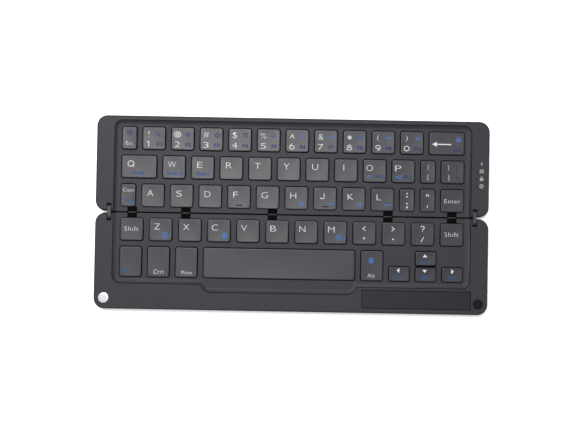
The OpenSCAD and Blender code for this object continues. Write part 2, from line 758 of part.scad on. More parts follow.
rear_deck();
rear_base();
rear_key_plate();
rear_dome_sheet();
main_board();
charge_socket();
indicator_lenses();
catch_magnet();
rear_feet();
rear_screws();
end_links();
bridge_links();
rear_hinge_rod();
front_hinge_rod();
flex_bridge();
front_deck();
front_base();
front_key_plate();
front_dome_sheet();
battery();
closing_magnet();
rubber_bumper();
front_feet();
front_screws();
space_stabilizer();
for (name = key_nodes)
    keys_of(name);
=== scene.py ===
import json
import math

import bmesh
import bpy
import numpy as np
from bpy.props import FloatProperty, FloatVectorProperty, PointerProperty
from mathutils import Matrix, Vector

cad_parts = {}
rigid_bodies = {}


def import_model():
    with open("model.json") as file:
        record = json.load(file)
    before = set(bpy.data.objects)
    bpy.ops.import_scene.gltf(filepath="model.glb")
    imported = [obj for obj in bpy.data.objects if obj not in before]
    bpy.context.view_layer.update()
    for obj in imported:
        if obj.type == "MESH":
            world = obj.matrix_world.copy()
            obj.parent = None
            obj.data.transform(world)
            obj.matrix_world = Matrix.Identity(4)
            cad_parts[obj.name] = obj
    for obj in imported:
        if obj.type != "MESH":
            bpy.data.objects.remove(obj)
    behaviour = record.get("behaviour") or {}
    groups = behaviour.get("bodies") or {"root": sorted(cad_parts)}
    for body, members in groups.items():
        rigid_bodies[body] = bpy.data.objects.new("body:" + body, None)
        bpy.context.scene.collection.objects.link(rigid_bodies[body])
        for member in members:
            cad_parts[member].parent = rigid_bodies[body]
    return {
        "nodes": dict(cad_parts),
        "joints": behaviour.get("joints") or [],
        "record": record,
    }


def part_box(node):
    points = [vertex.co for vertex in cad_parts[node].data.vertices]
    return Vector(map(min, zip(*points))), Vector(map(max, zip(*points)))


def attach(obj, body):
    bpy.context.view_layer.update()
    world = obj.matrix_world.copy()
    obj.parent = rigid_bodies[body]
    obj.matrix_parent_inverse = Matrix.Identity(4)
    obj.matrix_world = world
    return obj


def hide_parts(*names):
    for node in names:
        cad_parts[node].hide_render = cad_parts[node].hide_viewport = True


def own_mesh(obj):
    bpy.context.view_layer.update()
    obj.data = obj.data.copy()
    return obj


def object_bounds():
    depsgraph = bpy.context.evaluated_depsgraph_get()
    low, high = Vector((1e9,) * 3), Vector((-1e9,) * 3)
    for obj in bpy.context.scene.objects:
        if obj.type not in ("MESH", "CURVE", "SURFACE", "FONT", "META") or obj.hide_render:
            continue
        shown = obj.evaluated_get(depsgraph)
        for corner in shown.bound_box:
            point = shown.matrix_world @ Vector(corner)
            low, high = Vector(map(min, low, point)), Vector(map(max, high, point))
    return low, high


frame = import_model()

bl_info = {
    "name": "Folding Keyboard",
    "version": (1, 0, 0),
    "blender": (4, 5, 0),
    "location": "3D View > Sidebar > Keyboard",
    "description": "Dresses the solids of a folding keyboard with keycaps, legends and finishes",
    "category": "Object",
}

MM = 0.001
CAD_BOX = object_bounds()

# Heights in metres: the border, the webs between the keys below it, the caps and the contact film.
BORDER_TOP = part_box("rear_deck")[1][2]
BORDER_STEP = 1.2 * MM
WEB_TOP = BORDER_TOP - BORDER_STEP
CAP_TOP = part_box("key_a")[1][2]
FILM = 0.15
SHEET_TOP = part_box("rear_dome_sheet")[0][2] + FILM * MM

# Sizes in millimetres: a cap's height, its plunger, and the place of a locating bar on a cap.
CAP_HEIGHT = 2.3
PLUNGER = 0.55
BAR_PLACE = (7.0, 11.5)

# Middle and size of the bare plate's recess, and the signs' way from their lamps, in millimetres.
PLATE_MIDDLE = (74.3, -49.0)
PLATE_SIZE = (64.6, 11.0)
LAMP_TO_SIGN = 3.1

BODY_OF = {node: body for body, nodes in frame["record"]["behaviour"]["bodies"].items()
           for node in nodes}
KEY_NODES = [node for node in BODY_OF if node.startswith("key_") or node.endswith("_keys")]


# ---------------------------------------------------------------- settings

def colour(name, description, default):
    """A colour in linear red, green and blue."""
    return FloatVectorProperty(name=name, description=description, default=default,
                               subtype="COLOR", size=3, min=0.0, max=1.0)


def length(name, description, default):
    """A length in millimetres."""
    return FloatProperty(name=name, description=description, default=default, min=0.0)


class FinishSettings(bpy.types.PropertyGroup):
    """Colours of the pieces and the texture of the moulded plastic"""
    shell: colour("Deck", "Colour of the moulded decks", (0.0117, 0.0114, 0.0170))
    base: colour("Bottom plate", "Colour of the bottom plates", (0.018, 0.0175, 0.022))
    cap: colour("Keycaps", "Colour of the keycaps", (0.0200, 0.0197, 0.0260))
    ink: colour("Light legends", "Colour of the white legends", (0.72, 0.73, 0.75))
    second_ink: colour("Blue legends", "Colour of the blue legends", (0.013, 0.028, 0.112))
    bright_ink: colour("Bright legends", "Colour of the bright blue legends", (0.055, 0.135, 0.350))
    word_ink: colour("Blue words", "Colour of the small blue words", (0.024, 0.066, 0.205))
    link: colour("Side links", "Colour of the hinge links at the sides", (0.030, 0.030, 0.033))
    # This colour is also the shade painted on the key wells' lower walls and, darker, in the
    # border's grooves, and the colour of the strip that stands in for the shade in the seam.
    dark: colour("Inside", "Colour of the dark parts below the deck", (0.006, 0.006, 0.007))
    rubber: colour("Rubber", "Colour of the feet and of the bumper", (0.006, 0.006, 0.007))
    magnet: colour("Magnet", "Colour of the closing magnet", (0.56, 0.57, 0.59))
    steel: colour("Steel", "Colour of rods, screws and socket", (0.55, 0.56, 0.58))
    board: colour("Circuit board", "Colour of the solder mask", (0.015, 0.110, 0.045))
    grain: length("Moulded grain", "Size of the moulded texture, in millimetres", 0.14)
    roughness: FloatProperty(name="Roughness", description="Roughness of the moulded plastic",
                             default=0.56, min=0.0, max=1.0, subtype="FACTOR")


class KeySettings(bpy.types.PropertyGroup):
    """Shape of the keycaps and of their print"""
    edge: length("Edge", "Rounding of a keycap's top edge, in millimetres", 0.42)
    corner: length("Corner", "Plan radius of a keycap's corners, in millimetres", 1.2)
    dish: length("Dish", "Depth of the hollow in a keycap's top, in millimetres", 0.12)
    wall: length("Skirt", "Thickness of a keycap's skirt, in millimetres", 0.8)
    top: length("Top", "Thickness of a keycap's top, in millimetres", 0.9)
    letter: length("Letter height", "Height of the letters, in millimetres", 3.45)
    ink: length("Ink", "Height of the printed legends, in millimetres", 0.015)


class FittingSettings(bpy.types.PropertyGroup):
    """Sizes of the screws, discs and feet, and of the gap round the bare plate"""
    head: length("Screw head", "Radius of a screw's head, in millimetres", 1.38)
    head_height: length("Head height", "Height of a screw's head, in millimetres", 0.55)
    shank: length("Shank", "Radius of a screw's shank, in millimetres", 0.8)
    edge: length("Disc edge", "Rounding of the discs' edges, in millimetres", 0.22)
    groove: length("Pad groove", "Width of the groove in a foot, in millimetres", 0.5)
    plate_gap: length("Plate gap", "Gap round the bare plate, in millimetres", 0.34)


class StageSettings(bpy.types.PropertyGroup):
    """Camera and lamps"""
    distance: FloatProperty(name="Camera distance", description="Distance of the camera",
                            default=0.6, min=0.1, unit="LENGTH")
    elevation: FloatProperty(name="Camera elevation", description="Elevation of the camera",
                             default=math.radians(88.769), subtype="ANGLE")
    roll: FloatProperty(name="Camera roll", description="Roll of the camera",
                        default=math.radians(1.049), subtype="ANGLE")
    lens: FloatProperty(name="Lens", description="Focal length of the camera, in millimetres",
                        default=62.749, min=1.0)
    target: FloatVectorProperty(name="Target", description="Point that the camera looks at",
                                default=(-0.00115, -0.00151, 0.005), size=3, unit="LENGTH")
    side_lamp: FloatProperty(name="Side lamp", description="Power of the rear left lamp, in watts",
                             default=4.6, min=0.0)
    top_lamp: FloatProperty(name="Top lamp", description="Power of the lamp overhead, in watts",
                            default=9.6, min=0.0)
    fill: FloatProperty(name="Fill", description="Strength of the even light all round",
                        default=0.18, min=0.0)


# ---------------------------------------------------------------- shader maths

class Wire:
    """One output socket. Arithmetic on it adds Math nodes and gives a new Wire."""

    def __init__(self, tree, socket):
        self.tree, self.socket = tree, socket

    def math(self, operation, *values):
        return node(self.tree, "ShaderNodeMath", {"operation": operation},
                    dict(enumerate(values)))

    def clamped(self):
        """The value, kept between 0 and 1."""
        return self.math("MINIMUM", self.math("MAXIMUM", self, 0.0), 1.0)

    def siblings(self, *names):
        """Other outputs of the same node."""
        return [Wire(self.tree, self.socket.node.outputs[name]) for name in names]

    def __add__(self, other):
        return self.math("ADD", self, other)

    def __sub__(self, other):
        return self.math("SUBTRACT", self, other)

    def __rsub__(self, other):
        return self.math("SUBTRACT", other, self)

    def __mul__(self, other):
        return self.math("MULTIPLY", self, other)

    __radd__ = __add__
    __rmul__ = __mul__


def node(tree, kind, settings=None, inputs=None, output=0):
    """Adds a node: its settings first, then the value or link of each socket.

    Gives one of its outputs, or nothing where the node has none.
    """
    made = tree.nodes.new(kind)
    for name, value in (settings or {}).items():
        if name == "stops":
            ramp = made.color_ramp.elements
            for i, (position, tone) in enumerate(value):
                stop = ramp[i] if i < 2 else ramp.new(position)
                stop.position, stop.color = position, (*tone, 1)
        else:
            setattr(made, name, value)
    for name, value in (inputs or {}).items():
        if isinstance(value, Wire):
            tree.links.new(value.socket, made.inputs[name])
        else:
            made.inputs[name].default_value = value
    return Wire(tree, made.outputs[output]) if made.outputs else None


def new_material(name):
    """An empty material with its node tree."""
    material = bpy.data.materials.new(name)
    material.use_nodes = True
    material.node_tree.nodes.clear()
    return material, material.node_tree


def place(tree):
    """Object coordinates."""
    return node(tree, "ShaderNodeTexCoord", output="Object")


def noise(tree, size, detail=2.0):
    """Fractal noise whose features are size metres across."""
    return node(tree, "ShaderNodeTexNoise", {"noise_dimensions": "3D"},
                {"Vector": place(tree), "Scale": 1.0 / size, "Detail": detail}, "Fac")


def tint(tree, amount, dark, light):
    """Mix of two colours."""
    ends = [c if isinstance(c, Wire) else (*c, 1) for c in (dark, light)]
    return node(tree, "ShaderNodeMix", {"data_type": "RGBA"},
                {"Factor": amount, 6: ends[0], 7: ends[1]}, 2)


def surface(tree, inputs):
    """Principled shader wired to the output."""
    shader = node(tree, "ShaderNodeBsdfPrincipled", inputs=inputs)
    node(tree, "ShaderNodeOutputMaterial", inputs={"Surface": shader})


def sunk(tree, inside, below):
    """Where shade is painted: 1 well under a height, fading to 0 on the way up to it, inside +-x
    and +-y only.
    """
    fade = 0.3 * MM
    apart = node(tree, "ShaderNodeSeparateXYZ", inputs={"Vector": place(tree)})
    x, y, z = apart.siblings("X", "Y", "Z")
    within = x.math("LESS_THAN", x.math("ABSOLUTE", x), inside[0])
    within = within * y.math("LESS_THAN", y.math("ABSOLUTE", y), inside[1])
    return within * ((z * -1 + below) * (1 / fade)).clamped()


def relief(tree, height, distance):
    """Bump from a height between 0 and 1 over a distance in metres."""
    return node(tree, "ShaderNodeBump", inputs={"Height": height, "Distance": distance,
                                                "Strength": 1.0}, output="Normal")


def shade(base, factor):
    """A colour times a factor."""
    return tuple(min(1.0, c * factor) for c in base)


def moulded(name, base, grain, roughness, depth=0.004 * MM, rim_highlight=0.0, specular=0.3, painted_shade=None,
            inside=None, below=0.0):
    """Spark-eroded plastic: fine grain in the relief, broad clouding in colour and roughness.

    rim_highlight lightens the colour, as a painted highlight, where the mesh's own 'rim' attribute
    rises to 1. painted_shade is the colour painted as shade on walls below a height, as far out
    from the middle as inside, (x, y) in metres.
    """
    material, tree = new_material(name)
    cloud = noise(tree, 9 * MM, 3.0)
    fine = noise(tree, grain * MM, 1.0)
    mottled = cloud * 0.6 + fine * 0.4
    # Painted highlight: the colour is lighter along the rims that the mesh marks.
    if rim_highlight:
        rim = node(tree, "ShaderNodeAttribute", {"attribute_name": "rim"}, output="Fac")
        mottled = mottled + rim * rim_highlight
    shown = tint(tree, mottled, shade(base, 0.90), shade(base, 1.10))
    # Painted shade: walls below the height take the dark colour.
    if painted_shade:
        shown = tint(tree, sunk(tree, inside, below), shown, painted_shade)
    surface(tree, {
        "Base Color": shown,
        "Roughness": cloud * 0.08 + fine * 0.06 + (roughness - 0.07),
        "Specular IOR Level": specular,
        "Normal": relief(tree, fine * 0.7 + noise(tree, grain * 3 * MM, 1.0) * 0.3, depth),
    })
    return material


def printed(name, base):
    """Pad-printed ink: thin and even, a little mottled where the grain shows through."""
    material, tree = new_material(name)
    fine = noise(tree, 0.15 * MM, 2.0)
    surface(tree, {
        "Base Color": tint(tree, fine, shade(base, 0.86), shade(base, 1.08)),
        "Roughness": fine * 0.15 + 0.40,
        "Specular IOR Level": 0.15,
        "Normal": relief(tree, fine, 0.003 * MM),
    })
    return material


def metal(name, base, roughness, scale=(1.0, 1.0, 1.0), size=0.4, depth=0.0015 * MM):
    """Bare metal with fine marks; scale stretches the marks into brushing or turning lines."""
    material, tree = new_material(name)
    spot = node(tree, "ShaderNodeMapping", {"vector_type": "POINT"},
                {"Vector": place(tree), "Scale": scale}, "Vector")
    marks = node(tree, "ShaderNodeTexNoise", {}, {"Vector": spot, "Scale": 1 / (size * MM),
                                                  "Detail": 3.0}, "Fac")
    surface(tree, {
        "Base Color": tint(tree, marks, shade(base, 0.93), shade(base, 1.05)),
        "Metallic": 1.0,
        "Roughness": marks * 0.16 + (roughness - 0.08),
        "Normal": relief(tree, marks, depth),
    })
    return material


def rubbery(name, base):
    """Matt rubber with a fine pitted skin and dusty patches."""
    material, tree = new_material(name)
    dust = noise(tree, 2.5 * MM, 3.0)
    fine = noise(tree, 0.2 * MM, 2.0)
    surface(tree, {
        "Base Color": tint(tree, dust, shade(base, 0.8), shade(base, 1.5)),
        "Roughness": fine * 0.1 + 0.72,
        "Specular IOR Level": 0.12,
        "Normal": relief(tree, fine, 0.01 * MM),
    })
    return material


def solder_mask(name, base):
    """Circuit board: copper tracks show as lighter lines through the green lacquer."""
    material, tree = new_material(name)
    bands = node(tree, "ShaderNodeTexWave", {"bands_direction": "DIAGONAL", "wave_type": "BANDS"},
                 {"Vector": place(tree), "Scale": 320.0, "Distortion": 6.0, "Detail": 0.0,
                  "Detail Scale": 0.3}, "Fac")
    track = node(tree, "ShaderNodeValToRGB", {"stops": [(0.62, (0, 0, 0)), (0.68, (1, 1, 1))]},
                 {"Fac": bands}, "Color")
    surface(tree, {
        "Base Color": tint(tree, track, base, shade(base, 2.1)),
        "Roughness": noise(tree, 1 * MM) * 0.1 + 0.25,
        "Normal": relief(tree, track, 0.02 * MM),
    })
    return material


def smoked(name, base, shine):
    """Smoked clear plastic, polished by its mould; shine is the weight of its coat."""
    material, tree = new_material(name)
    cloud = noise(tree, 0.5 * MM)
    surface(tree, {
        "Base Color": tint(tree, cloud, shade(base, 0.8), shade(base, 1.25)),
        "Roughness": cloud * 0.08 + 0.1,
        "Specular IOR Level": 0.1 + 0.4 * shine,
        "Coat Weight": shine,
        "Normal": relief(tree, noise(tree, 0.3 * MM), 0.001 * MM),
    })
    return material


# ---------------------------------------------------------------- surfaces

def outline(width, depth, radius, steps=5, along=0):
    """Rounded rectangle about the origin, anticlockwise, as an (n, 2) array.

    Each corner is a quarter circle: corner centre + radius * (cos a, sin a). along is how many
    more points each straight side has between its ends, in equal steps.
    """
    radius = min(radius, width / 2, depth / 2)
    angle = np.linspace(0, math.pi / 2, steps + 1)
    turns = np.concatenate([angle + k * math.pi / 2 for k in range(4)])
    centre = np.repeat(np.array([[1, 1], [-1, 1], [-1, -1], [1, -1]]), steps + 1, axis=0)
    centre = centre * [width / 2 - radius, depth / 2 - radius]
    corners = centre + radius * np.stack([np.cos(turns), np.sin(turns)], axis=1)
    if not along:
        return corners
    corners = corners.reshape(4, steps + 1, 2)
    share = np.arange(1, along + 1)[:, None] / (along + 1)
    ends, starts = corners[:, -1:], np.roll(corners[:, :1], -1, axis=0)
    return np.concatenate([corners, ends + (starts - ends) * share], axis=1).reshape(-1, 2)


def level(points, z):
    """A flat ring at height z."""
    return np.column_stack([points, np.full(len(points), z)])


def skin(rings):
    """Closed skin through rings of equal length: quads between neighbours, a face on each end."""
    rings = np.asarray(rings, dtype=float)
    count, n = rings.shape[:2]
    i = np.arange(n)
    j = np.roll(i, -1)
    first = np.arange(count - 1)[:, None] * n
    quads = np.stack([first + i, first + j, first + n + j, first + n + i], axis=-1)
    faces = quads.reshape(-1, 4).tolist() + [i[::-1].tolist(), (i + (count - 1) * n).tolist()]
    return rings.reshape(-1, 3), faces


def loop_skin(rings):
    """Skin through rings that close on themselves, such as a band swept round a closed path."""
    rings = np.asarray(rings, dtype=float)
    count, n = rings.shape[:2]
    i = np.arange(n)
    j = np.roll(i, -1)
    first = np.arange(count)[:, None] * n
    following = (first + n) % (count * n)
    quads = np.stack([first + i, first + j, following + j, following + i], axis=-1)
    return rings.reshape(-1, 3), quads.reshape(-1, 4).tolist()


def carried(section, ends):
    """Bar along x: its section, as (y, z) points, stands at each end."""
    return skin([np.column_stack([np.full(len(section), x), section]) for x in ends])


def turned(u, v, profile, n=48):
    """Solid of revolution about (u, v): rings of radius r at height z, from the foot up."""
    a = np.linspace(0, 2 * math.pi, n, endpoint=False)
    around = np.stack([np.cos(a), np.sin(a)], axis=1)
    return skin([level(r * around + [u, v], z) for r, z in profile])


def rounded(radius, low, high, edge):
    """Profile of a disc with a quarter circle for its upper edge.

    That edge is (r - e + e * cos a, z - e + e * sin a).
    """
    a = np.linspace(0, math.pi / 2, 5)
    return [(radius, low)] + [(radius - edge * (1 - math.cos(t)), high - edge * (1 - math.sin(t)))
                              for t in a] + [(radius * 0.5, high)]


def screw(u, v, low, high, settings):
    """Screw with its head down: cross recess, chamfered head, shank with a blunt point.

    The recess's edge is r(a) = max(min(L / |cos a|, w / |sin a|), min(w / |cos a|, L / |sin a|)).
    """
    long, half = 0.62 * settings.head, 0.14 * settings.head
    recess, lip, rim, chamfer, point = 0.42, 0.05, 0.16, 0.12, 0.2
    corner = math.atan2(half, long)
    quarter = [0, corner, 0.5 * (corner + math.pi / 4), math.pi / 4,
               0.5 * (3 * math.pi / 4 - corner), math.pi / 2 - corner]
    a = np.concatenate([np.array(quarter) + k * math.pi / 2 for k in range(4)])
    c, s = np.maximum(np.abs(np.cos(a)), 1e-9), np.maximum(np.abs(np.sin(a)), 1e-9)
    cross = np.maximum(np.minimum(long / c, half / s), np.minimum(half / c, long / s))
    around = np.stack([np.cos(a), np.sin(a)], axis=1)
    head, shank, thick = settings.head, settings.shank, settings.head_height
    rings = [(cross * 0.55, low + recess), (cross * 0.9, low + lip), (cross, low),
             (head - rim, low), (head, low + chamfer), (head, low + thick), (shank, low + thick),
             (shank, high - point), (shank * 0.7, high)]
    return skin([level(around * np.reshape(r, (-1, 1)) + [u, v], z) for r, z in rings])


def join(parts):
    """One (points, faces) from several."""
    points, faces, start = [], [], 0
    for p, f in parts:
        points.append(p)
        faces += [[v + start for v in face] for face in f]
        start += len(p)
    return np.concatenate(points), faces


def metres(parts):
    """Parts that were worked out in millimetres, in metres."""
    return [(points * MM, faces) for points, faces in parts]


def add_piece(name, parts, finish, body, nodes=(), smooth=35.0, rim=None):
    """Makes one mesh object of (points, faces) parts, in metres, and lets it ride on a body."""
    points, faces = join(parts)
    mesh = bpy.data.meshes.new(name)
    mesh.from_pydata(points.tolist(), [], faces)
    return settle(name, mesh, finish, body, nodes, smooth, rim)


def settle(name, mesh, finish, body, nodes=(), smooth=35.0, rim=None, accent=None):
    """Links a mesh as a piece with its finish, smooth shading below the given angle and body.

    accent is (finish, test): a second finish for the faces whose centres and normals, as two
    (n, 3) arrays in metres, pass the test.
    """
    if rim is not None:
        mesh.attributes.new("rim", "FLOAT", "POINT").data.foreach_set("value", rim)
    mesh.shade_smooth()
    mesh.set_sharp_from_angle(angle=math.radians(smooth))
    mesh.materials.clear()
    mesh.materials.append(bpy.data.materials[finish])
    if accent:
        mesh.materials.append(bpy.data.materials[accent[0]])
        chosen = accent[1](*face_data(mesh)[:2])
        mesh.polygons.foreach_set("material_index", chosen.astype(np.int32))
    mesh.validate()
    piece = bpy.data.objects.new(name, mesh)
    bpy.context.scene.collection.objects.link(piece)
    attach(piece, body)
    if nodes:
        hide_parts(*nodes)
    return piece


def face_data(mesh):
    """Centres, normals and areas of a mesh's faces."""
    count = len(mesh.polygons)
    centres, normals, areas = np.empty(count * 3), np.empty(count * 3), np.empty(count)
    mesh.polygons.foreach_get("center", centres)
    mesh.polygons.foreach_get("normal", normals)
    mesh.polygons.foreach_get("area", areas)
    return centres.reshape(-1, 3), normals.reshape(-1, 3), areas


def islands(name):
    """Boxes of a node's separate solids, in metres, sorted from rear to front, left to right.

    Equal points are merged, then every triangle hands its lowest label to its corners until
    nothing changes.
    """
    mesh = frame["nodes"][name].data
    points = np.empty(len(mesh.vertices) * 3)
    mesh.vertices.foreach_get("co", points)
    points = points.reshape(-1, 3)
    mesh.calc_loop_triangles()
    corners = np.empty(len(mesh.loop_triangles) * 3, dtype=int)
    mesh.loop_triangles.foreach_get("vertices", corners)
    _, same = np.unique(np.round(points, 6), axis=0, return_inverse=True)
    corners = same.ravel()[corners].reshape(-1, 3)
    label = np.arange(same.max() + 1)
    while True:
        lower = label.copy()
        np.minimum.at(lower, corners.ravel(), np.repeat(label[corners].min(axis=1), 3))
        lower = lower[lower]
        if (lower == label).all():
            break
        label = lower
    owner = label[same.ravel()]
    boxes = [(points[owner == k].min(axis=0), points[owner == k].max(axis=0))
             for k in np.unique(owner)]
    return sorted(boxes, key=lambda b: (-round(b[1][1], 3), b[0][0]))


def plan_middle(low, high):
    """Middle of a box from above, in millimetres."""
    return ((low + high) / 2 / MM)[:2]


def refined(name, node_name, finish, bevel=0.0, only=None, accent=None):
    """A merged copy of a CAD node, with its edges softened where a bevel is given, which replaces
    the node.

    bevel is in millimetres. only is a test on an edge's two ends, for a bevel on some edges.
    Broad flat faces are shaded flat, so that the rounding beside them doesn't bend their light.
    """
    sharp_angle, broad_face, square_on = math.radians(38), 4 * MM * MM, 0.9999
    mesh = frame["nodes"][node_name].data.copy()
    form = bmesh.new()
    form.from_mesh(mesh)
    bmesh.ops.remove_doubles(form, verts=form.verts, dist=1e-6)
    bmesh.ops.dissolve_limit(form, angle_limit=math.radians(0.4), verts=form.verts,
                             edges=form.edges)
    if bevel:
        sharp = [e for e in form.edges if len(e.link_faces) == 2 and e.is_convex
                 and e.calc_face_angle() > sharp_angle
                 and (only is None or only(e.verts[0].co, e.verts[1].co))]
        bmesh.ops.bevel(form, geom=sharp, offset=bevel * MM, segments=2, profile=0.5,
                        affect="EDGES", clamp_overlap=False)
        bmesh.ops.remove_doubles(form, verts=form.verts, dist=1e-6)
    form.to_mesh(mesh)
    form.free()
    settle(name, mesh, finish, BODY_OF[node_name], [node_name], accent=accent)
    normals, areas = face_data(mesh)[1:]
    broad = (areas > broad_face) & (np.abs(normals).max(axis=1) > square_on)
    mesh.polygons.foreach_set("use_smooth", ~broad)
    mesh.update()


# ---------------------------------------------------------------- keycaps

def top_height(points, width, depth, z, dish):
    """Height of the dished top: z - dish * (1 - u^2) * (1 - v^2), u and v from -1 to 1 across."""
    u, v = np.clip(points[:, :2] / [width / 2, depth / 2], -1, 1).T
    return z - dish * (1 - u * u) * (1 - v * v)


def keycap(box, settings):
    """Hollow cap inside a box: skirt, rounded edge, dished top, and the plunger underneath.

    Rings run from the foot of the plunger out over the ceiling, down the inside of the skirt, up
    the outside, round the edge by (radius * (1 - cos a), radius * sin a) and in over the top.
    Gives the part and each point's 'rim', 1 along the rounded edge, where a highlight is painted.
    """
    low, high = (np.asarray(corner) / MM for corner in box)
    width, depth = high[0] - low[0], high[1] - low[1]
    centre = (low + high) / 2
    edge, wall, corner = settings.edge, settings.wall, settings.corner
    inner_corner, stem_radius, chamfer, chamfer_rise, tightening = 0.6, 1.5, 0.06, 0.08, 0.8
    top = CAP_TOP / MM
    skirt = top - CAP_HEIGHT
    ceiling = top - settings.top
    grid = (5, 6)

    def ring(inset, z):
        return level(outline(width - 2 * inset, depth - 2 * inset,
                             corner - inset * tightening, *grid), z)

    inner = outline(width - 2 * wall, depth - 2 * wall, inner_corner, *grid)
    angle = np.arctan2(inner[:, 1], inner[:, 0])
    stem = stem_radius * np.stack([np.cos(angle), np.sin(angle)], axis=1)
    rings = [level(stem, ceiling - PLUNGER), level(stem, ceiling), level(inner, ceiling),
             level(inner, skirt), ring(chamfer, skirt), ring(0.0, skirt + chamfer_rise)]
    rim = [0.0] * 6
    turn = np.linspace(0, math.pi / 2, 7)
    rings += [ring(edge * (1 - math.cos(a)), top - edge + edge * math.sin(a)) for a in turn]
    # Painted highlight along the rounded edge: how far towards the lighter colour each ring goes.
    rim += [0.25, 0.5, 0.8, 1.0, 1.0, 0.9, 0.6]
    flat_w, flat_d = width - 2 * edge, depth - 2 * edge
    flat = outline(flat_w, flat_d, corner - edge * tightening, *grid)
    inwards = (0.96, 0.88, 0.76, 0.62, 0.47, 0.31, 0.15)
    for share in inwards:
        points = flat * share
        rings.append(np.column_stack([points, top_height(points, flat_w, flat_d, top,
                                                         settings.dish)]))
    rim += [0.2] + [0.0] * (len(inwards) - 1)
    points, faces = skin(rings)
    points[:, :2] += centre[:2]
    return (points * MM, faces), np.repeat(rim, len(inner))


def bump_bar(box, u, w):
    """Locating bar near the front of a cap: a long ellipsoid's upper half, on a short foot.

    Each ring is the bar's plan at a share of its width; heights count from just below the top.
    """
    low, high = (np.asarray(corner) / MM for corner in box)
    plan, sunk_by = outline(4.0, 0.6, 0.29, 4), 0.02
    rise = [(1.0, -0.15), (1.0, 0.02), (0.9, 0.10), (0.7, 0.15), (0.4, 0.18)]
    rings = [level(plan * [0.9 + 0.1 * s, s], CAP_TOP / MM + z - sunk_by) for s, z in rise]
    points, faces = skin(rings)
    points[:, :2] += [low[0] + u, high[1] - w]
    return points * MM, faces


# ---------------------------------------------------------------- legends

# Meshes of the lettering, filled by draw_glyphs.
GLYPHS = {}
# Weight and spacing of the lettering of each kind: words are wider set than letters.
LETTERING = {"first": (-0.018, 1.0), "word": (-0.015, 1.12), "second": (0.045, 1.05),
             "third": (0.010, 1.05), "small": (0.045, 1.05)}
# Finish of the print of each kind.
INKS = {"first": "white_ink", "word": "white_ink", "second": "blue_ink", "third": "bright_ink",
        "small": "word_ink"}


def draw_glyphs(words):
    """Turns (ink, word) pairs into closed meshes in capital heights, with z from 0 to 1.

    Equal points are merged, and faces that lose a corner by it are left out.
    """
    made = {}
    for word in sorted(set(words) | {(ink, "H") for ink in LETTERING}):
        curve = bpy.data.curves.new("glyph", "FONT")
        curve.body, curve.extrude, curve.resolution_u = word[1], 0.5, 3
        curve.offset, curve.space_character = LETTERING[word[0]]
        made[word] = bpy.data.objects.new("glyph", curve)
        bpy.context.scene.collection.objects.link(made[word])
    graph = bpy.context.evaluated_depsgraph_get()
    for word, item in made.items():
        mesh = bpy.data.meshes.new_from_object(item.evaluated_get(graph))
        points = np.empty(len(mesh.vertices) * 3)
        mesh.vertices.foreach_get("co", points)
        points = points.reshape(-1, 3)
        merged, same = np.unique(np.round(points, 6), axis=0, return_inverse=True)
        same = same.ravel()
        corners = np.empty(len(mesh.loops), dtype=np.int32)
        mesh.loops.foreach_get("vertex_index", corners)
        starts = np.empty(len(mesh.polygons), dtype=np.int32)
        mesh.polygons.foreach_get("loop_start", starts)
        faces = [f.tolist() for f in np.split(same[corners], starts[1:])]
        faces = [f for f in faces if len(set(f)) == len(f)]
        GLYPHS[word] = (merged, faces)
        bpy.data.meshes.remove(mesh)
        curve = item.data
        bpy.data.objects.remove(item)
        bpy.data.curves.remove(curve)
    capital = {ink: np.ptp(GLYPHS[ink, "H"][0][:, 1]) for ink in LETTERING}
    for word, (points, faces) in GLYPHS.items():
        points = points / [capital[word[0]], capital[word[0]], 1.0]
        points[:, 2] += 0.5
        GLYPHS[word] = (points, faces)


def word_mark(ink, text, u, w, height, width=None):
    """Lettering whose box has its middle at (u, w), stretched to the width where one is given."""
    spread = 1.08
    points, faces = GLYPHS[ink, text]
    low, high = points.min(axis=0), points.max(axis=0)
    across = height * spread if width is None else width / (high[0] - low[0])
    size = np.array([across, height, 1.0])
    middle = np.append((low + high)[:2] / 2, 0)
    return (points - middle) * size + [u, -w, 0], faces


def ribbon(path, width, closed=False):
    """Flat band along a path: each station is moved half the width along the mitred normal."""
    path = np.asarray(path, dtype=float)
    if closed:
        ahead, behind = np.roll(path, -1, axis=0) - path, path - np.roll(path, 1, axis=0)
    else:
        step = np.diff(path, axis=0)
        ahead, behind = np.vstack([step, step[-1:]]), np.vstack([step[:1], step])
    unit = [d / np.linalg.norm(d, axis=1, keepdims=True) for d in (ahead, behind)]
    tangent = unit[0] + unit[1]
    tangent /= np.linalg.norm(tangent, axis=1, keepdims=True)
    normal = np.stack([-tangent[:, 1], tangent[:, 0]], axis=1)
    least = 0.4
    mitre = 1 / np.clip(np.abs(np.sum(tangent * unit[0], axis=1, keepdims=True)), least, 1)
    side = normal * mitre * width / 2
    left, right = path + side, path - side
    rings = np.stack([level(left, 0), level(right, 0), level(right, 1), level(left, 1)], axis=1)
    points, faces = loop_skin(rings) if closed else skin(rings)
    return points, [f[::-1] for f in faces]


def disc(u, v, rx, ry=None, n=20):
    """Filled ellipse: (u + rx * cos a, v + ry * sin a)."""
    a = np.linspace(0, 2 * math.pi, n, endpoint=False)
    edge = np.stack([u + rx * np.cos(a), v + (ry or rx) * np.sin(a)], axis=1)
    return skin([level(edge, 0), level(edge, 1)])


def arc_path(u, v, rx, ry, start, end, n=14):
    """Stations along an ellipse from one angle to another, in degrees."""
    a = np.radians(np.linspace(start, end, n))
    return np.stack([u + rx * np.cos(a), v + ry * np.sin(a)], axis=1)


def circle(u, v, rx, ry=None, width=0.4):
    """Band along an ellipse."""
    return ribbon(arc_path(u, v, rx, ry or rx, 0, 342, 19), width, closed=True)


def frame_mark(u, v, width, height, line=0.4, radius=0.3):
    """Outline of a rounded rectangle."""
    return ribbon(outline(width - line, height - line, radius, 3) + [u, v], line, closed=True)


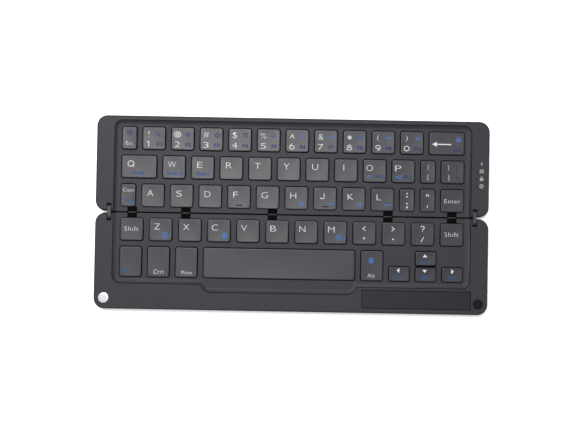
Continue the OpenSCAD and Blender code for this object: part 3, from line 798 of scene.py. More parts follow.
def polygon(*points):
    """Filled polygon, anticlockwise."""
    ring = np.asarray(points, dtype=float)
    return skin([level(ring, 0), level(ring, 1)])


def bar(u, v, width, height):
    """Filled rectangle about (u, v)."""
    return polygon((u - width / 2, v - height / 2), (u + width / 2, v - height / 2),
                   (u + width / 2, v + height / 2), (u - width / 2, v + height / 2))


def triangle(u, v, width, height, way):
    """Triangle that points left, right, up or down inside its box."""
    a, b = width / 2, height / 2
    corners = {"left": [(a, -b), (a, b), (-a, 0)], "right": [(-a, b), (-a, -b), (a, 0)],
               "up": [(-a, -b), (a, -b), (0, b)], "down": [(a, b), (-a, b), (0, -b)]}[way]
    return polygon(*[(u + x, v + y) for x, y in corners])


def speaker(u, v):
    """Box and horn, with the horn's mouth at u."""
    return [polygon((u - 1.6, v - 0.55), (u - 0.9, v - 0.55), (u, v - 1.4), (u, v + 1.4),
                    (u - 0.9, v + 0.55), (u - 1.6, v + 0.55))]


def padlock(size=1.0):
    """Body and shackle."""
    return [bar(0, -0.6 * size, 2.6 * size, 1.9 * size),
            ribbon(arc_path(0, 0.25 * size, 0.85 * size, 1.2 * size, -8, 188), 0.42 * size)]


def comma(u, v):
    """Dot with a tail."""
    return [disc(u, v, 0.46), polygon((u + 0.46, v), (u - 0.25, v - 1.3), (u - 0.3, v - 0.2))]


# Small signs: each gives marks about the origin, some 3.4 mm across, v upwards.
SIGNS = {
    "find": lambda: [circle(-0.25, 0.25, 0.85, width=0.45),
                     ribbon([(0.4, -0.4), (1.3, -1.3)], 0.6)],
    "eye": lambda: [circle(0, 0, 1.45, 0.95, 0.42), disc(0, 0, 0.5)],
    "wheel": lambda: [circle(0, 0, 1.45, 1.0, 0.55), disc(0, 0, 0.4)]
    + [bar(0, s * 1.2, 0.6, 0.4) for s in (-1, 1)] + [bar(s * 1.7, 0, 0.4, 0.6) for s in (-1, 1)],
    "window": lambda: [frame_mark(0, 0, 2.6, 2.6, radius=0.25), bar(0, 0.3, 1.9, 0.6)],
    "page": lambda: [frame_mark(0, 0, 2.7, 2.7, radius=0.6), bar(0, -0.4, 1.2, 0.8)],
    "globe": lambda: [frame_mark(0, 0, 2.8, 2.7, radius=0.9), disc(0, 0, 0.75, 0.7)],
    "back": lambda: [triangle(-0.95, 0, 1.8, 2.0, "left"), triangle(0.95, 0, 1.8, 2.0, "left")],
    "play": lambda: [triangle(-0.95, 0, 1.7, 2.0, "right"), bar(0.65, 0, 0.5, 1.9),
                     bar(1.5, 0, 0.5, 1.9)],
    "next": lambda: [triangle(-0.95, 0, 1.8, 2.0, "right"), triangle(0.95, 0, 1.8, 2.0, "right")],
    "mute": lambda: speaker(0.0, 0) + [ribbon([(0.5, 0.6), (1.6, -0.6)], 0.4),
                                       ribbon([(0.5, -0.6), (1.6, 0.6)], 0.4)],
    "quieter": lambda: speaker(0.3, 0) + [bar(1.3, 0, 1.0, 0.5)],
    "louder": lambda: speaker(-0.2, 0) + [ribbon(arc_path(-0.5, 0, 1.3, 1.4, -50, 50, 8), 0.45),
                                          ribbon(arc_path(-0.5, 0, 2.2, 2.0, -40, 40, 8), 0.45)],
    "home": lambda: [frame_mark(0, 0, 3.1, 2.9, 0.45, 0.5), disc(0, 0, 0.65)],
    "house": lambda: [bar(0, -0.6, 2.9, 2.6), triangle(0, 1.2, 3.0, 1.1, "up")],
    "lock": padlock,
    "oval": lambda: [disc(0, 0, 1.75, 2.05, 28)],
    "ring": lambda: [circle(0, 0, 1.7, width=0.6), disc(0, 0, 0.8)],
    "ring_two": lambda: [circle(0, 0, 1.6, width=0.6), disc(0, 0, 0.7)],
    "one": lambda: [ribbon([(-0.9, 0.95), (0.1, 1.5), (0.1, -1.6)], 0.38)],
    "zero": lambda: [circle(0, 0, 1.5, 1.4, 0.4)],
    "nine": lambda: [circle(0, 0.55, 1.35, 1.0, 0.38),
                     ribbon([(1.3, 0.45), (0.95, -0.7), (-0.2, -1.65)], 0.38)],
    "six": lambda: [circle(0, -0.55, 1.4, 1.0, 0.38),
                    ribbon([(-1.35, -0.45), (-1.0, 0.7), (0.2, 1.65)], 0.38)],
    "eight": lambda: [circle(0, 0.72, 1.0, 0.7, 0.38), circle(0, -0.72, 1.4, 0.82, 0.38)],
    "Q": lambda: [circle(-0.15, 0.1, 1.75, 1.62, 0.40), ribbon([(0.5, -0.7), (1.75, -1.7)], 0.42)],
    "@": lambda: [circle(0, 0, 1.85, 1.6, 0.36), circle(-0.1, 0, 0.75, 0.7, 0.34),
                  bar(0.72, -0.05, 0.32, 1.45)],
    "J": lambda: [ribbon(np.vstack([[(1.15, 1.67), (1.15, -0.5)],
                                    arc_path(-0.05, -0.5, 1.2, 1.05, -15, -165, 10)]), 0.4)],
    "question": lambda: [ribbon(np.vstack([arc_path(0, 0.75, 1.1, 0.85, 165, -50, 12),
                                           [(0.05, -0.25), (0, -0.75)]]), 0.38),
                         disc(0, -1.4, 0.26)],
    "^": lambda: [ribbon([(-1.1, -1.2), (0, 1.1), (1.1, -1.2)], 0.42)],
    "*": lambda: [bar(0, 0, 0.42, 2.7)] + [ribbon([(-1.2, -0.7 * s), (1.2, 0.7 * s)], 0.42)
                                           for s in (-1, 1)],
    "less": lambda: [ribbon([(0.8, 1.25), (-0.8, 0), (0.8, -1.25)], 0.4)],
    "more": lambda: [ribbon([(-0.8, 1.25), (0.8, 0), (-0.8, -1.25)], 0.4)],
    "point": lambda: [disc(0, 0, 0.46)],
    "comma": lambda: comma(0, 0),
    "colon": lambda: [disc(0, 0.93, 0.42), disc(0, -0.93, 0.42)],
    "semicolon": lambda: [disc(0, 1.2, 0.42)] + comma(0, -0.85),
    "quote": lambda: [bar(x, 0, 0.42, 1.4) for x in (-0.5, 0.5)],
    "apostrophe": lambda: [bar(0, 0, 0.42, 1.2)],
    "slant": lambda: [ribbon([(-0.8, -1.45), (0.8, 1.45)], 0.38)],
    "tick": lambda: [bar(0, 0, 0.7, 1.4)],
    "minus": lambda: [bar(0, 0, 3.2, 0.95)],
    "plus": lambda: [bar(0, 0, 3.1, 0.95), bar(0, 0, 0.95, 3.1)],
    "equals": lambda: [bar(0, 0.7, 3.1, 0.75), bar(0, -0.7, 3.1, 0.75)],
    "under": lambda: [bar(0, 0, 4.2, 0.7)],
    "stroke": lambda: [bar(0, 1.05, 0.55, 1.6), bar(0, -1.05, 0.55, 1.6)],
    "slash": lambda: [ribbon([(-1.3, 1.9), (1.3, -1.9)], 0.75)],
    "erase": lambda: [bar(1.35, 0, 8.6, 0.6), triangle(-4.3, 0, 2.9, 2.9, "left")],
    "bolt": lambda: [polygon((0.5, 1.5), (-0.9, -0.25), (-0.05, -0.25), (-0.5, -1.5),
                             (0.9, 0.25), (0.05, 0.25))],
    "square": lambda: [frame_mark(0, 0, 2.5, 2.3, 0.4, 0.2), bar(0, 0, 1.1, 0.9)],
    "small_lock": lambda: padlock(0.85),
    "power": lambda: [circle(0, 0, 1.1, width=0.45), disc(0, 0, 0.45)],
    "up": lambda: [triangle(0, 0, 2.8, 1.7, "up")],
    "down": lambda: [triangle(0, 0, 2.8, 1.7, "down")],
    "left": lambda: [triangle(0, 0, 1.7, 2.9, "left")],
    "right": lambda: [triangle(0, 0, 1.7, 2.9, "right")],
}


def sign_mark(name, u, w, scale=1.0):
    """A sign about (u, w); each of its marks lies a little lower than the last."""
    marks = [(points * [scale, scale, 1 - 0.06 * i], faces)
             for i, (points, faces) in enumerate(SIGNS[name]())]
    points, faces = join(marks)
    return points + [u, -w, 0], faces


# The digits from left to right, some of them drawn as signs, and the character above each.
DIGITS = ["one", "2", "3", "4", "5", "six", "7", "eight", "nine", "zero"]
ABOVE = "!@#$%^&*()"
# Height and width of each character above a digit; those drawn as signs have none.
ABOVE_SIZES = {"!": (3.5,), "@": (), "#": (3.3, 3.1), "$": (3.3, 2.7), "%": (3.1, 3.6),
               "^": (), "&": (3.4, 2.9), "*": (), "(": (2.9, 1.0), ")": (2.9, 1.0)}
# The blue sign at the right of each digit.
DIGIT_SIGNS = [("second", "find", 8.9, 4.2), ("second", "eye", 9.85, 4.15),
               ("second", "wheel", 10.15, 4.3), ("second", "window", 9.85, 3.9),
               ("small", "page", 9.5, 3.9, 0.95), ("third", "globe", 9.8, 3.95, 0.95),
               ("third", "back", 9.2, 4.1), ("small", "play", 9.4, 3.9),
               ("third", "next", 9.9, 4.1), ("third", "mute", 10.0, 4.15)]
# Legends of the caps of each node, cap after cap from rear to front and left to right. A sign is
# (ink, sign, u, w) and may have a scale. A word is (ink, word, u, w, height) and may have a width.
# The middle lies u to the right of the cap's left edge and w in front of its rear edge, and all
# sizes are in millimetres. The 26 letters have their places in LETTER_PLACES.
LEGENDS = {
    "corner_keys": [
        [("second", "home", 4.4, 3.6), ("word", "Esc", 4.3, 9.8, 1.9, 4.0)],
        [("word", "Caps", 4.4, 3.9, 2.0, 6.4), ("small", "Tab", 4.4, 10.0, 2.5, 5.6)]],
    "number_keys": [
        [("first", ABOVE[i], 3.5 if i > 7 else 3.6, 4.15, *ABOVE_SIZES[ABOVE[i]]),
         ("first", DIGITS[i], 3.5, 10.1) if DIGITS[i] in SIGNS else
         ("first", DIGITS[i], 3.5, 10.1, 3.2, 3.1), DIGIT_SIGNS[i],
         ("second", "F%d" % (i + 1), 9.9, 10.3, 2.3, 4.4 if i == 9 else 3.3)] for i in range(10)],
    "key_backspace": [[("first", "erase", 7.25, 7.25), ("third", "lock", 17.15, 4.2),
                       ("second", "Del", 16.1, 10.3, 2.2, 3.9)]],
    "key_q": [[("small", "Mode 1", 10.9, 10.3, 2.2, 9.0)]],
    "key_w": [[("small", "Mode 2", 7.0, 10.3, 2.2, 8.8)]],
    "key_e": [[("small", "Mode 3", 6.9, 10.3, 2.2, 7.6)]],
    "key_o": [[("third", "quieter", 3.3, 10.1), ("second", "F11", 9.4, 10.1, 2.4, 4.4)]],
    "key_p": [[("third", "louder", 4.0, 10.1), ("second", "F12", 9.2, 10.1, 2.4, 4.4)]],
    "rear_symbol_keys": [
        [("first", "{", 4.3, 4.1, 2.3), ("first", "[", 4.4, 10.1, 2.3)],
        [("first", "}", 4.1, 4.1, 2.3), ("first", "]", 4.2, 10.1, 2.3),
         ("second", "stroke", 9.2, 4.1), ("second", "slash", 9.9, 10.1)],
        [("first", "colon", 4.2, 3.75), ("first", "semicolon", 4.25, 9.95)],
        [("first", "quote", 4.1, 3.7), ("first", "apostrophe", 4.2, 10.3)]],
    "key_h": [[("third", "plus", 9.6, 9.9, 0.9)]],
    "key_j": [[("third", "minus", 9.9, 9.8)]],
    "key_k": [[("third", "equals", 9.8, 10.0)]],
    "key_l": [[("third", "under", 9.7, 9.8)]],
    "key_enter": [[("word", "Enter", 6.7, 6.95, 2.3, 9.4)]],
    "modifier_keys": [
        [("word", "Shift", 6.6, 6.5, 2.5, 8.3)],
        [("word", "Shift", 6.5, 6.6, 2.5, 8.3)],
        [("small", "Fn", 3.8, 14.55, 2.3, 4.4)],
        [("word", "Ctrl", 6.5, 14.7, 2.4, 5.8)],
        [("word", "Menu", 6.7, 14.8, 2.1, 6.2)],
        [("word", "Alt", 6.1, 14.7, 2.2, 4.5), ("third", "house", 5.9, 5.5)]],
    "key_z": [[("third", "ring", 9.1, 9.95), ("third", "tick", 12.2, 10.2)]],
    "key_c": [[("third", "oval", 10.2, 9.6)]],
    "key_m": [[("third", "ring_two", 8.8, 9.5), ("third", "tick", 12.0, 10.0)]],
    "front_symbol_keys": [
        [("first", "less", 6.5, 4.0), ("first", "comma", 6.5, 9.55)],
        [("first", "more", 6.3, 3.95), ("first", "point", 6.4, 10.0)],
        [("first", "question", 6.5, 3.6), ("first", "slant", 6.55, 9.8)]],
    "arrow_keys": [
        [("first", "up", 5.5, 2.45), ("small", "PgUp", 5.8, 6.35, 1.75, 5.6)],
        [("first", "left", 5.4, 2.15), ("small", "Home", 5.6, 6.05, 1.75, 5.6)],
        [("first", "down", 5.4, 2.45), ("small", "PgDn", 5.7, 6.05, 1.75, 5.6)],
        [("first", "right", 6.2, 2.35), ("small", "End", 5.9, 5.8, 1.75, 4.2)]],
}
LETTERS = {"key_" + c: c.upper() for c in "abcdefghijklmnopqrstuvwxyz"}
# Middle, from the cap's left edge, and width of each letter, in millimetres.
LETTER_PLACES = {
    "Q": (5.65, 4.2), "W": (5.50, 4.6), "E": (5.05, 3.2), "R": (5.20, 3.4), "T": (5.25, 3.4),
    "Y": (5.30, 3.5), "U": (5.30, 3.4), "I": (5.30, 0.42), "O": (3.60, 4.0), "P": (3.55, 3.5),
    "A": (5.10, 3.7), "S": (5.15, 3.3), "D": (5.00, 3.5), "F": (4.75, 2.9), "G": (4.85, 3.9),
    "H": (4.80, 3.4), "J": (4.95, 2.6), "K": (4.70, 3.4), "L": (4.55, 2.7), "Z": (4.65, 3.4),
    "X": (4.50, 3.5), "C": (4.25, 3.7), "V": (4.30, 3.5), "B": (4.35, 3.4), "N": (4.35, 3.5),
    "M": (4.30, 3.8)}
# Middle of the letters in front of the cap's rear edge, and how much further in front in each row.
LETTER_LINE = 5.05
ROW_SHIFTS = {"QWERTYUIOP": 0.0, "ASDFGHJKL": 0.25, "ZXCVBNM": -0.12}


def legend_words():
    """Every (ink, word) that is set in type."""
    words = [item[:2] for caps in LEGENDS.values() for cap in caps for item in cap
             if item[1] not in SIGNS]
    return words + [("first", letter) for letter in LETTERS.values() if letter not in SIGNS]


def key_marks(node_name, box, marks, settings, finish):
    """The marks of one ink on one cap, laid on the cap's dished top and rooted a little in it."""
    root = 0.05
    low, high = (np.asarray(corner) / MM for corner in box)
    width, depth = high[0] - low[0], high[1] - low[1]
    parts = []
    if finish == "white_ink" and node_name in LETTERS:
        letter = LETTERS[node_name]
        middle, across = LETTER_PLACES[letter]
        shift = next(shift for row, shift in ROW_SHIFTS.items() if letter in row)
        if letter in SIGNS:
            parts.append(sign_mark(letter, middle, LETTER_LINE + shift))
        else:
            parts.append(word_mark("first", letter, middle, LETTER_LINE + shift, settings.letter,
                                   across))
    for item in marks:
        if INKS[item[0]] == finish:
            parts.append(sign_mark(*item[1:]) if item[1] in SIGNS else word_mark(*item))
    laid = []
    for points, faces in parts:
        local = points[:, :2] + [-width / 2, depth / 2]
        ground = top_height(local, width - 2 * settings.edge, depth - 2 * settings.edge, high[2],
                            settings.dish)
        z = ground + np.where(points[:, 2] > 0, settings.ink * points[:, 2], -root)
        middle = (low + high)[:2] / 2
        laid.append((np.column_stack([local + middle, z]) * MM, faces))
    return laid


# ---------------------------------------------------------------- operators

class KEYBOARD_OT_finishes(bpy.types.Operator):
    """Make the finishes: moulded plastic, inks, rubber, metals and the circuit board"""
    bl_idname = "folding_keyboard.finishes"
    bl_label = "Finishes"

    def execute(self, context):
        s = context.scene.keyboard_finish
        wall, lit_depth = 1.2 * MM, 0.35 * MM
        inside = (CAD_BOX[1][0] - wall, CAD_BOX[1][1] - wall)
        # The key wells' walls are painted dark as shade, from lit_depth under the webs' top
        # downwards.
        moulded("deck_plastic", s.shell, s.grain, s.roughness, painted_shade=s.dark, inside=inside,
                below=WEB_TOP - lit_depth)
        moulded("plate_plastic", s.base, s.grain * 1.6, s.roughness + 0.08, 0.008 * MM)
        # The caps' rounded edges are painted lighter, as a highlight.
        moulded("cap_plastic", s.cap, s.grain * 0.8, s.roughness - 0.19, 0.003 * MM, rim_highlight=0.8)
        moulded("link_plastic", s.link, s.grain, s.roughness - 0.1)
        # Dark rubber of the strip that stands in for the shade inside the seam.
        moulded("seam_rubber", s.dark, s.grain, 0.8, specular=0.1)
        # Black plastic of the middle links; on the border's grooves it is painted shade.
        moulded("black_plastic", shade(s.dark, 0.35), s.grain, 0.8, specular=0.05)
        # A lighter copy of the side links' plastic, painted on the middle links' ridge as a
        # highlight.
        moulded("ridge_plastic", shade(s.link, 0.53), s.grain, s.roughness)
        # The locating bars take a much darker copy of the cap plastic, as painted shade.
        moulded("bar_plastic", shade(s.cap, 0.25), s.grain, 0.6, specular=0.1)
        moulded("plate_film", shade(s.shell, 0.62), s.grain * 0.5, s.roughness - 0.12, 0.001 * MM,
                specular=0.2)
        printed("white_ink", s.ink)
        printed("blue_ink", s.second_ink)
        printed("bright_ink", s.bright_ink)
        printed("word_ink", s.word_ink)
        printed("grey_ink", shade(s.ink, 0.50))
        rubbery("black_rubber", s.rubber)
        rubbery("dome_silicone", shade(s.rubber, 2.5))
        metal("polished_nickel", s.magnet, 0.22)
        metal("zinc_plate", s.steel, 0.36)
        metal("ground_steel", s.steel, 0.3, scale=(0.02, 1, 1))
        metal("black_steel", shade(s.steel, 0.02), 0.5, scale=(0.02, 1, 1))
        metal("rolled_aluminium", shade(s.steel, 0.95), 0.42, scale=(0.05, 1, 1))
        metal("foil_pouch", (0.62, 0.63, 0.65), 0.3, size=2.0, depth=0.02 * MM)
        solder_mask("solder_mask", s.board)
        smoked("smoked_lens", (0.0040, 0.0042, 0.0050), 0.05)
        smoked("amber_film", (0.05, 0.028, 0.012), 1.0)
        return {"FINISHED"}


class KEYBOARD_OT_shells(bpy.types.Operator):
    """Soften the edges of the two decks, and put merged copies in place of the two bottom plates"""
    bl_idname = "folding_keyboard.shells"
    bl_label = "Shells"

    def execute(self, context):
        rim = 0.22
        for half in ("rear", "front"):
            # The grooves in the border take the black finish as painted shade.
            refined(half + "_deck_shell", half + "_deck", "deck_plastic", rim,
                    self.well_rim, accent=("black_plastic", self.groove))
            refined(half + "_bottom_plate", half + "_base", "plate_plastic")
        return {"FINISHED"}

    def well_rim(self, a, b):
        """An edge round a key well: it lies in the webs' top, clear of the notches at the seam."""
        near, notches = 0.01 * MM, 4.4 * MM
        return (abs(a.z - WEB_TOP) < near and abs(b.z - WEB_TOP) < near
                and min(abs(a.y), abs(b.y)) > notches)

    def groove(self, centres, normals):
        """Faces of the grooves in the border, where shade is painted: flat or upright, just under
        its top, off the rim.
        """
        shallow, deep, rim, seam = 0.02 * MM, 0.43 * MM, 1.5 * MM, 3.3 * MM
        x, y, z = np.abs(centres).T
        flat, upright = normals[:, 2] > 0.99, np.abs(normals[:, 2]) < 0.1
        return ((z < BORDER_TOP - shallow) & (z > BORDER_TOP - deep) & (flat | upright)
                & (x < CAD_BOX[1][0] - rim) & (y < CAD_BOX[1][1] - rim) & (y > seam))


class KEYBOARD_OT_hinge(bpy.types.Operator):
    """Finish the links, the rods and the film that carries the wiring across"""
    bl_idname = "folding_keyboard.hinge"
    bl_label = "Hinge"

    def execute(self, context):
        refined("side_links", "end_links", "link_plastic", 0.15)
        refined("middle_links", "bridge_links", "black_plastic", 0.05,
                accent=("ridge_plastic", self.ridge_highlight_faces))
        # A dark strip under the seam stands in for the shade inside it.
        self.strip()
        for name in ("rear_hinge_rod", "front_hinge_rod"):
            refined(name + "_ground", name, "black_steel", 0.08)
        refined("wiring_film", "flex_bridge", "amber_film")
        return {"FINISHED"}

    def ridge_highlight_faces(self, centres, normals):
        """Upper faces of the ridge along a link's middle, painted lighter as a highlight."""
        half, height = 0.5 * MM, 0.25 * MM
        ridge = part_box("bridge_links")[1][2] - height
        return (np.abs(centres[:, 1]) < half) & (centres[:, 2] > ridge) & (normals[:, 2] > 0.5)

    def strip(self):
        """Dark rubber strip under the seam, standing in for the shade deep inside it: a bar between
        the side links, hung from the links.

        Its section is a rounded rectangle carried along x, and so is that of each post.
        """
        middle = (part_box("end_links")[0][2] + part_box("end_links")[1][2]) / 2 / MM
        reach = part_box("end_links")[1][0] / MM
        bar_drop, post_drop, post_half = 1.85, 1.2, 1.5
        section = outline(0.88, 0.8, 0.1, 2) + [0, middle - bar_drop]
        post = outline(0.5, 1.0, 0.1, 2) + [0, middle - post_drop]
        parts = [carried(section, (-reach, reach))]
        for low, high in islands("bridge_links"):
            x = plan_middle(low, high)[0]
            parts.append(carried(post, (x - post_half, x + post_half)))
        add_piece("seam_shade_strip", metres(parts), "seam_rubber", BODY_OF["bridge_links"])


class KEYBOARD_OT_keycaps(bpy.types.Operator):
    """Build the keycaps over their solids"""
    bl_idname = "folding_keyboard.keycaps"
    bl_label = "Keycaps"

    def execute(self, context):
        s = context.scene.keyboard_keys
        for name in KEY_NODES:
            caps = [keycap(self.trimmed(name, box), s) for box in islands(name)]
            parts = [part for part, _ in caps]
            rim = [edge for _, edge in caps]
            # The locating bar is finished dark, as painted shade.
            if name in ("key_f", "key_j"):
                add_piece(name + "_bar", [bump_bar(islands(name)[0], *BAR_PLACE)], "bar_plastic",
                          BODY_OF[name])
            add_piece(name + "_cap" if name.startswith("key_") else name + "_caps", parts,
                      "cap_plastic", BODY_OF[name], [name], 40.0, np.concatenate(rim))
        return {"FINISHED"}

    def trimmed(self, name, box):
        """The two arrow caps that share a well stand a little further apart."""
        near, trim = 1 * MM, 0.4 * MM
        low, high = box[0].copy(), box[1].copy()
        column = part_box("arrow_keys")
        if name == "arrow_keys" and abs(low[0] + high[0] - column[0][0] - column[1][0]) < near:
            if high[1] > column[1][1] - near:
                low[1] += trim
            else:
                high[1] -= trim
        return low, high


class KEYBOARD_OT_domes(bpy.types.Operator):
    """Make the silicone sheets and the domes under the keycaps"""
    bl_idname = "folding_keyboard.domes"
    bl_label = "Domes"

    def execute(self, context):
        s = context.scene.keyboard_keys
        for half in ("rear", "front"):
            self.sheet(half + "_dome_sheet")
        for joint in frame["joints"]:
            if joint["name"].startswith("press_"):
                self.domes(joint, s)
        return {"FINISHED"}

    def sheet(self, name):
        """The flat sheet alone: the node's cones are cut off and their feet closed."""
        near = 0.01 * MM
        mesh = frame["nodes"][name].data.copy()
        form = bmesh.new()
        form.from_mesh(mesh)
        bmesh.ops.remove_doubles(form, verts=form.verts, dist=1e-6)
        above = [v for v in form.verts if v.co.z > SHEET_TOP + near]
        bmesh.ops.delete(form, geom=above, context="VERTS")
        bmesh.ops.holes_fill(form, edges=[e for e in form.edges if e.is_boundary], sides=0)
        bmesh.ops.recalc_face_normals(form, faces=form.faces)
        form.to_mesh(mesh)
        form.free()
        settle(name.replace("_sheet", "_film"), mesh, "dome_silicone", BODY_OF[name],
               [name])

    def domes(self, joint, s):
        """One hollow dome under each cap of a joint, riding on the joint's parent; the caps' travel
        is worked out, but the dome keeps its shape.

        Its profile, as (radius, height), goes down the inside, round the foot and up the outside.
        """
        node_name = next(name for name in KEY_NODES if BODY_OF[name] == joint["child"])
        clearance, roof, shoulder = 0.02, 0.6, 0.35
        top = CAP_TOP / MM - s.top - PLUNGER - clearance
        foot = SHEET_TOP / MM
        profile = [(0.5, top - roof), (1.1, top - roof), (2.3, foot), (2.6, foot),
                   (2.6, foot + FILM), (1.5, top - shoulder), (1.3, top), (0.6, top)]
        parts = [turned(*plan_middle(*box), profile, 24) for box in islands(node_name)]
        piece = add_piece(node_name + "_domes", metres(parts), "dome_silicone", joint["parent"])
        travel = -joint["range_m"][0] / MM
        (top - travel - foot) / (top - foot)
        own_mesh(piece)


class KEYBOARD_OT_legends(bpy.types.Operator):
    """Print the white and the blue legends on the keycaps"""
    bl_idname = "folding_keyboard.legends"
    bl_label = "Legends"

    def execute(self, context):
        s = context.scene.keyboard_keys
        draw_glyphs(legend_words())
        for name in KEY_NODES:
            boxes = islands(name)
            marks = LEGENDS.get(name, [[] for _ in boxes])
            if len(marks) != len(boxes):
                raise RuntimeError("legends of %s: %d for %d caps" % (name, len(marks), len(boxes)))
            for finish in dict.fromkeys(INKS.values()):
                laid = [part for box, mark in zip(boxes, marks)
                        for part in key_marks(name, box, mark, s, finish)]
                if laid:
                    add_piece(name + "_" + finish.replace("_ink", "_legend"), laid, finish,
                              BODY_OF[name], smooth=30.0)
        return {"FINISHED"}


class KEYBOARD_OT_fittings(bpy.types.Operator):
    """Finish the discs, lamps, feet, screws and socket, and print the lamps' signs"""
    bl_idname = "folding_keyboard.fittings"
    bl_label = "Fittings"

    def execute(self, context):
        s = context.scene.keyboard_fittings
        self.discs("magnet_disc", "closing_magnet", "polished_nickel", "magnet", 0.3 * s.edge)
        self.discs("bumper_disc", "rubber_bumper", "black_rubber", "rubber", s.edge)
        self.discs("lamp_lenses", "indicator_lenses", "smoked_lens", "lens", 0.5 * s.edge)
        refined("socket_shell", "charge_socket", "zinc_plate", 0.06)
        for half in ("rear", "front"):
            self.feet(half, s)
            self.screws(half, s)
        self.plate(s)
        self.signs()
        return {"FINISHED"}

    def discs(self, name, node_name, finish, slot, edge):
        """Round pieces in place of a node's solids, with a soft upper edge."""
        parts = []
        for low, high in islands(node_name):
            radius = (high[0] - low[0]) / 2 / MM
            parts.append(turned(*plan_middle(low, high),
                                rounded(radius, low[2] / MM, high[2] / MM, edge)))
        add_piece(name, metres(parts), finish, BODY_OF[node_name], [node_name], 50.0)

    def feet(self, half, s):
        """Round pads: a ring to stand on, a groove inside it and a slightly sunk middle."""
        sunk_by, groove_depth, edge = 0.06, 0.2, 0.35
        parts = []
        for low, high in islands(half + "_feet"):
            r, z, top = (high[0] - low[0]) / 2 / MM, low[2] / MM, high[2] / MM
            ring = 0.62 * r
            profile = [(0.4, z + sunk_by), (ring - s.groove, z + sunk_by),
                       (ring - s.groove * 0.8, z + groove_depth),
                       (ring - s.groove * 0.2, z + groove_depth), (ring, z), (r - edge, z),
                       (r - 0.12, z + 0.1), (r, z + edge), (r, top)]
            parts.append(turned(*plan_middle(low, high), profile))
        add_piece(half + "_foot_pads", metres(parts), "black_rubber", BODY_OF[half + "_feet"],
                  [half + "_feet"])

    def screws(self, half, s):
        """A screw in place of each of a half's plain ones."""
        parts = [screw(*plan_middle(low, high), low[2] / MM, high[2] / MM, s)
                 for low, high in islands(half + "_screws")]
        add_piece(half + "_case_screws", metres(parts), "zinc_plate", BODY_OF[half + "_screws"],
                  [half + "_screws"])

    def plate(self, s):
        """Bare plate in its recess in the front border: a rounded sheet with a soft edge."""
        below_border, thick, edge, corner = 0.02, 0.16, 0.04, 0.6
        size = np.array(PLATE_SIZE) - 2 * s.plate_gap
        top = BORDER_TOP / MM - below_border
        rings = [level(outline(*(size - 2 * inset), corner - inset, 4) + PLATE_MIDDLE, z)
                 for inset, z in ((0.0, top - thick), (0.0, top - edge), (edge, top))]
        add_piece("bare_plate", metres([skin(rings)]), "plate_film", BODY_OF["front_deck"])

    def signs(self):
        """A sign to the right of each lamp, printed on the border and rooted a little in it."""
        scale, ink, root = 0.95, 0.02, 0.05
        parts = []
        for box, sign in zip(islands("indicator_lenses"),
                             ("bolt", "square", "small_lock", "power")):
            points, faces = sign_mark(sign, LAMP_TO_SIGN, 0.0, scale)
            z = BORDER_TOP / MM + np.where(points[:, 2] > 0, ink * points[:, 2], -root)
            parts.append((np.column_stack([points[:, :2] + plan_middle(*box), z]), faces))
        add_piece("lamp_signs", metres(parts), "grey_ink", BODY_OF["rear_deck"],
                  smooth=30.0)


class KEYBOARD_OT_inside(bpy.types.Operator):
    """Give the parts inside their finishes"""
    bl_idname = "folding_keyboard.inside"
    bl_label = "Inside"

    def execute(self, context):
        finishes = {
            "rear_key_plate": "rolled_aluminium", "front_key_plate": "rolled_aluminium",
            "main_board": "solder_mask", "battery": "foil_pouch",
            "catch_magnet": "polished_nickel", "space_stabilizer": "ground_steel",
        }
        for name, finish in finishes.items():
            for slot in frame["nodes"][name].material_slots:
                slot.material = bpy.data.materials[finish]
        return {"FINISHED"}


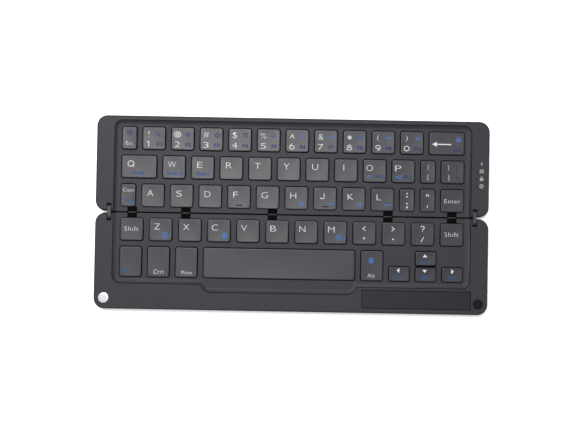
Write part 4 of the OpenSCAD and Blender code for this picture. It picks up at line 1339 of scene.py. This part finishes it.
class KEYBOARD_OT_stage(bpy.types.Operator):
    """Set the floor, the even light, the two soft lamps and the camera"""
    bl_idname = "folding_keyboard.stage"
    bl_label = "Stage"

    def execute(self, context):
        s = context.scene.keyboard_stage
        self.floor()
        self.light(context.scene, s)
        self.camera(context.scene, s)
        context.scene.view_settings.view_transform = "Standard"
        return {"FINISHED"}

    def floor(self):
        """Flat square; the camera sees it brighter than it is lit, more so far from the lamps.

        The glow is near + more * (rise * distance - start), the bracket kept from 0 to 1.
        """
        near, more, rise, start, reach = 0.5, 0.34, 1.2, 0.4, 2.0
        finish, tree = new_material("pale_floor")
        paper = noise(tree, 4 * MM)
        lit = node(tree, "ShaderNodeBsdfDiffuse", inputs={
            "Color": tint(tree, paper, (0.90, 0.90, 0.90), (0.93, 0.93, 0.93)), "Roughness": 0.5})
        away = node(tree, "ShaderNodeVectorMath", {"operation": "LENGTH"}, {0: place(tree)},
                    "Value")
        far = (away * rise - start).clamped()
        glow = node(tree, "ShaderNodeEmission",
                    inputs={"Strength": self.seen(tree) * (far * more + near)})
        shader = node(tree, "ShaderNodeAddShader", inputs={0: lit, 1: glow})
        node(tree, "ShaderNodeOutputMaterial", inputs={"Surface": shader})
        points = level(reach * np.array([(-1, -1), (1, -1), (1, 1), (-1, 1)]), 0.0)
        mesh = bpy.data.meshes.new("floor")
        mesh.from_pydata(points.tolist(), [], [[0, 1, 2, 3]])
        mesh.materials.append(finish)
        floor = bpy.data.objects.new("floor", mesh)
        bpy.context.scene.collection.objects.link(floor)

    def seen(self, tree):
        """1 for rays from the camera, off gloss or through glass."""
        direct = node(tree, "ShaderNodeLightPath", output="Is Camera Ray")
        gloss, glass = direct.siblings("Is Glossy Ray", "Is Transmission Ray")
        return direct.math("MAXIMUM", direct.math("MAXIMUM", direct, gloss), glass)

    def light(self, scene, s):
        """White surroundings that light the pieces weakly, and two soft round lamps."""
        diameter = 0.40
        world = bpy.data.worlds.new("studio")
        world.use_nodes = True
        tree = world.node_tree
        tree.nodes.clear()
        sky = node(tree, "ShaderNodeBackground", inputs={
            "Color": (1, 1, 1, 1), "Strength": self.seen(tree) * (1 - s.fill) + s.fill})
        node(tree, "ShaderNodeOutputWorld", inputs={"Surface": sky})
        scene.world = world
        for name, power, spot in (("side_lamp", s.side_lamp, (-0.52, 0.48, 0.85)),
                                  ("top_lamp", s.top_lamp, (-0.105, 0.265, 1.15))):
            lamp = bpy.data.lights.new(name, "AREA")
            lamp.shape, lamp.size, lamp.energy = "DISK", diameter, power
            item = bpy.data.objects.new(name, lamp)
            item.location = spot
            item.rotation_euler = Vector(spot).to_track_quat("Z", "Y").to_euler()
            scene.collection.objects.link(item)

    def camera(self, scene, s):
        """Looks along +Y and down; roll turns it about its own axis."""
        eye = bpy.data.cameras.new("camera")
        eye.lens, eye.sensor_width, eye.sensor_fit = s.lens, 36.0, "HORIZONTAL"
        eye.clip_start, eye.clip_end = 0.01, 20.0
        ahead = Vector((0.0, math.cos(s.elevation), -math.sin(s.elevation)))
        right = Vector((1.0, 0.0, 0.0))
        up = right.cross(ahead)
        aside = math.cos(s.roll) * right + math.sin(s.roll) * up
        above = -math.sin(s.roll) * right + math.cos(s.roll) * up
        item = bpy.data.objects.new("camera", eye)
        basis = Matrix((aside, above, -ahead)).transposed().to_4x4()
        item.matrix_world = Matrix.Translation(Vector(s.target) - ahead * s.distance) @ basis
        scene.collection.objects.link(item)
        scene.camera = item


class KEYBOARD_PT_panel(bpy.types.Panel):
    """The keyboard's steps and settings"""
    bl_label = "Folding Keyboard"
    bl_idname = "KEYBOARD_PT_panel"
    bl_space_type = "VIEW_3D"
    bl_region_type = "UI"
    bl_category = "Keyboard"

    def draw(self, context):
        for step in STEPS:
            self.layout.operator(step.bl_idname)
        for group, kind in SETTINGS.items():
            for name in kind.__annotations__:
                self.layout.prop(getattr(context.scene, group), name)


# The operators in the order in which they run, and where the scene keeps each group of settings.
STEPS = (KEYBOARD_OT_finishes, KEYBOARD_OT_shells, KEYBOARD_OT_hinge, KEYBOARD_OT_keycaps,
         KEYBOARD_OT_domes, KEYBOARD_OT_legends, KEYBOARD_OT_fittings, KEYBOARD_OT_inside,
         KEYBOARD_OT_stage)
SETTINGS = {"keyboard_finish": FinishSettings, "keyboard_keys": KeySettings,
            "keyboard_fittings": FittingSettings, "keyboard_stage": StageSettings}


def register():
    for group in SETTINGS.values():
        bpy.utils.register_class(group)
    for name, group in SETTINGS.items():
        setattr(bpy.types.Scene, name, PointerProperty(type=group))
    for step in STEPS + (KEYBOARD_PT_panel,):
        bpy.utils.register_class(step)


def unregister():
    for step in reversed(STEPS + (KEYBOARD_PT_panel,)):
        bpy.utils.unregister_class(step)
    for name, group in SETTINGS.items():
        delattr(bpy.types.Scene, name)
        bpy.utils.unregister_class(group)


def main():
    register()
    for step in STEPS:
        family, name = step.bl_idname.split(".")
        getattr(getattr(bpy.ops, family), name)()


if __name__ == "__main__":
    main()
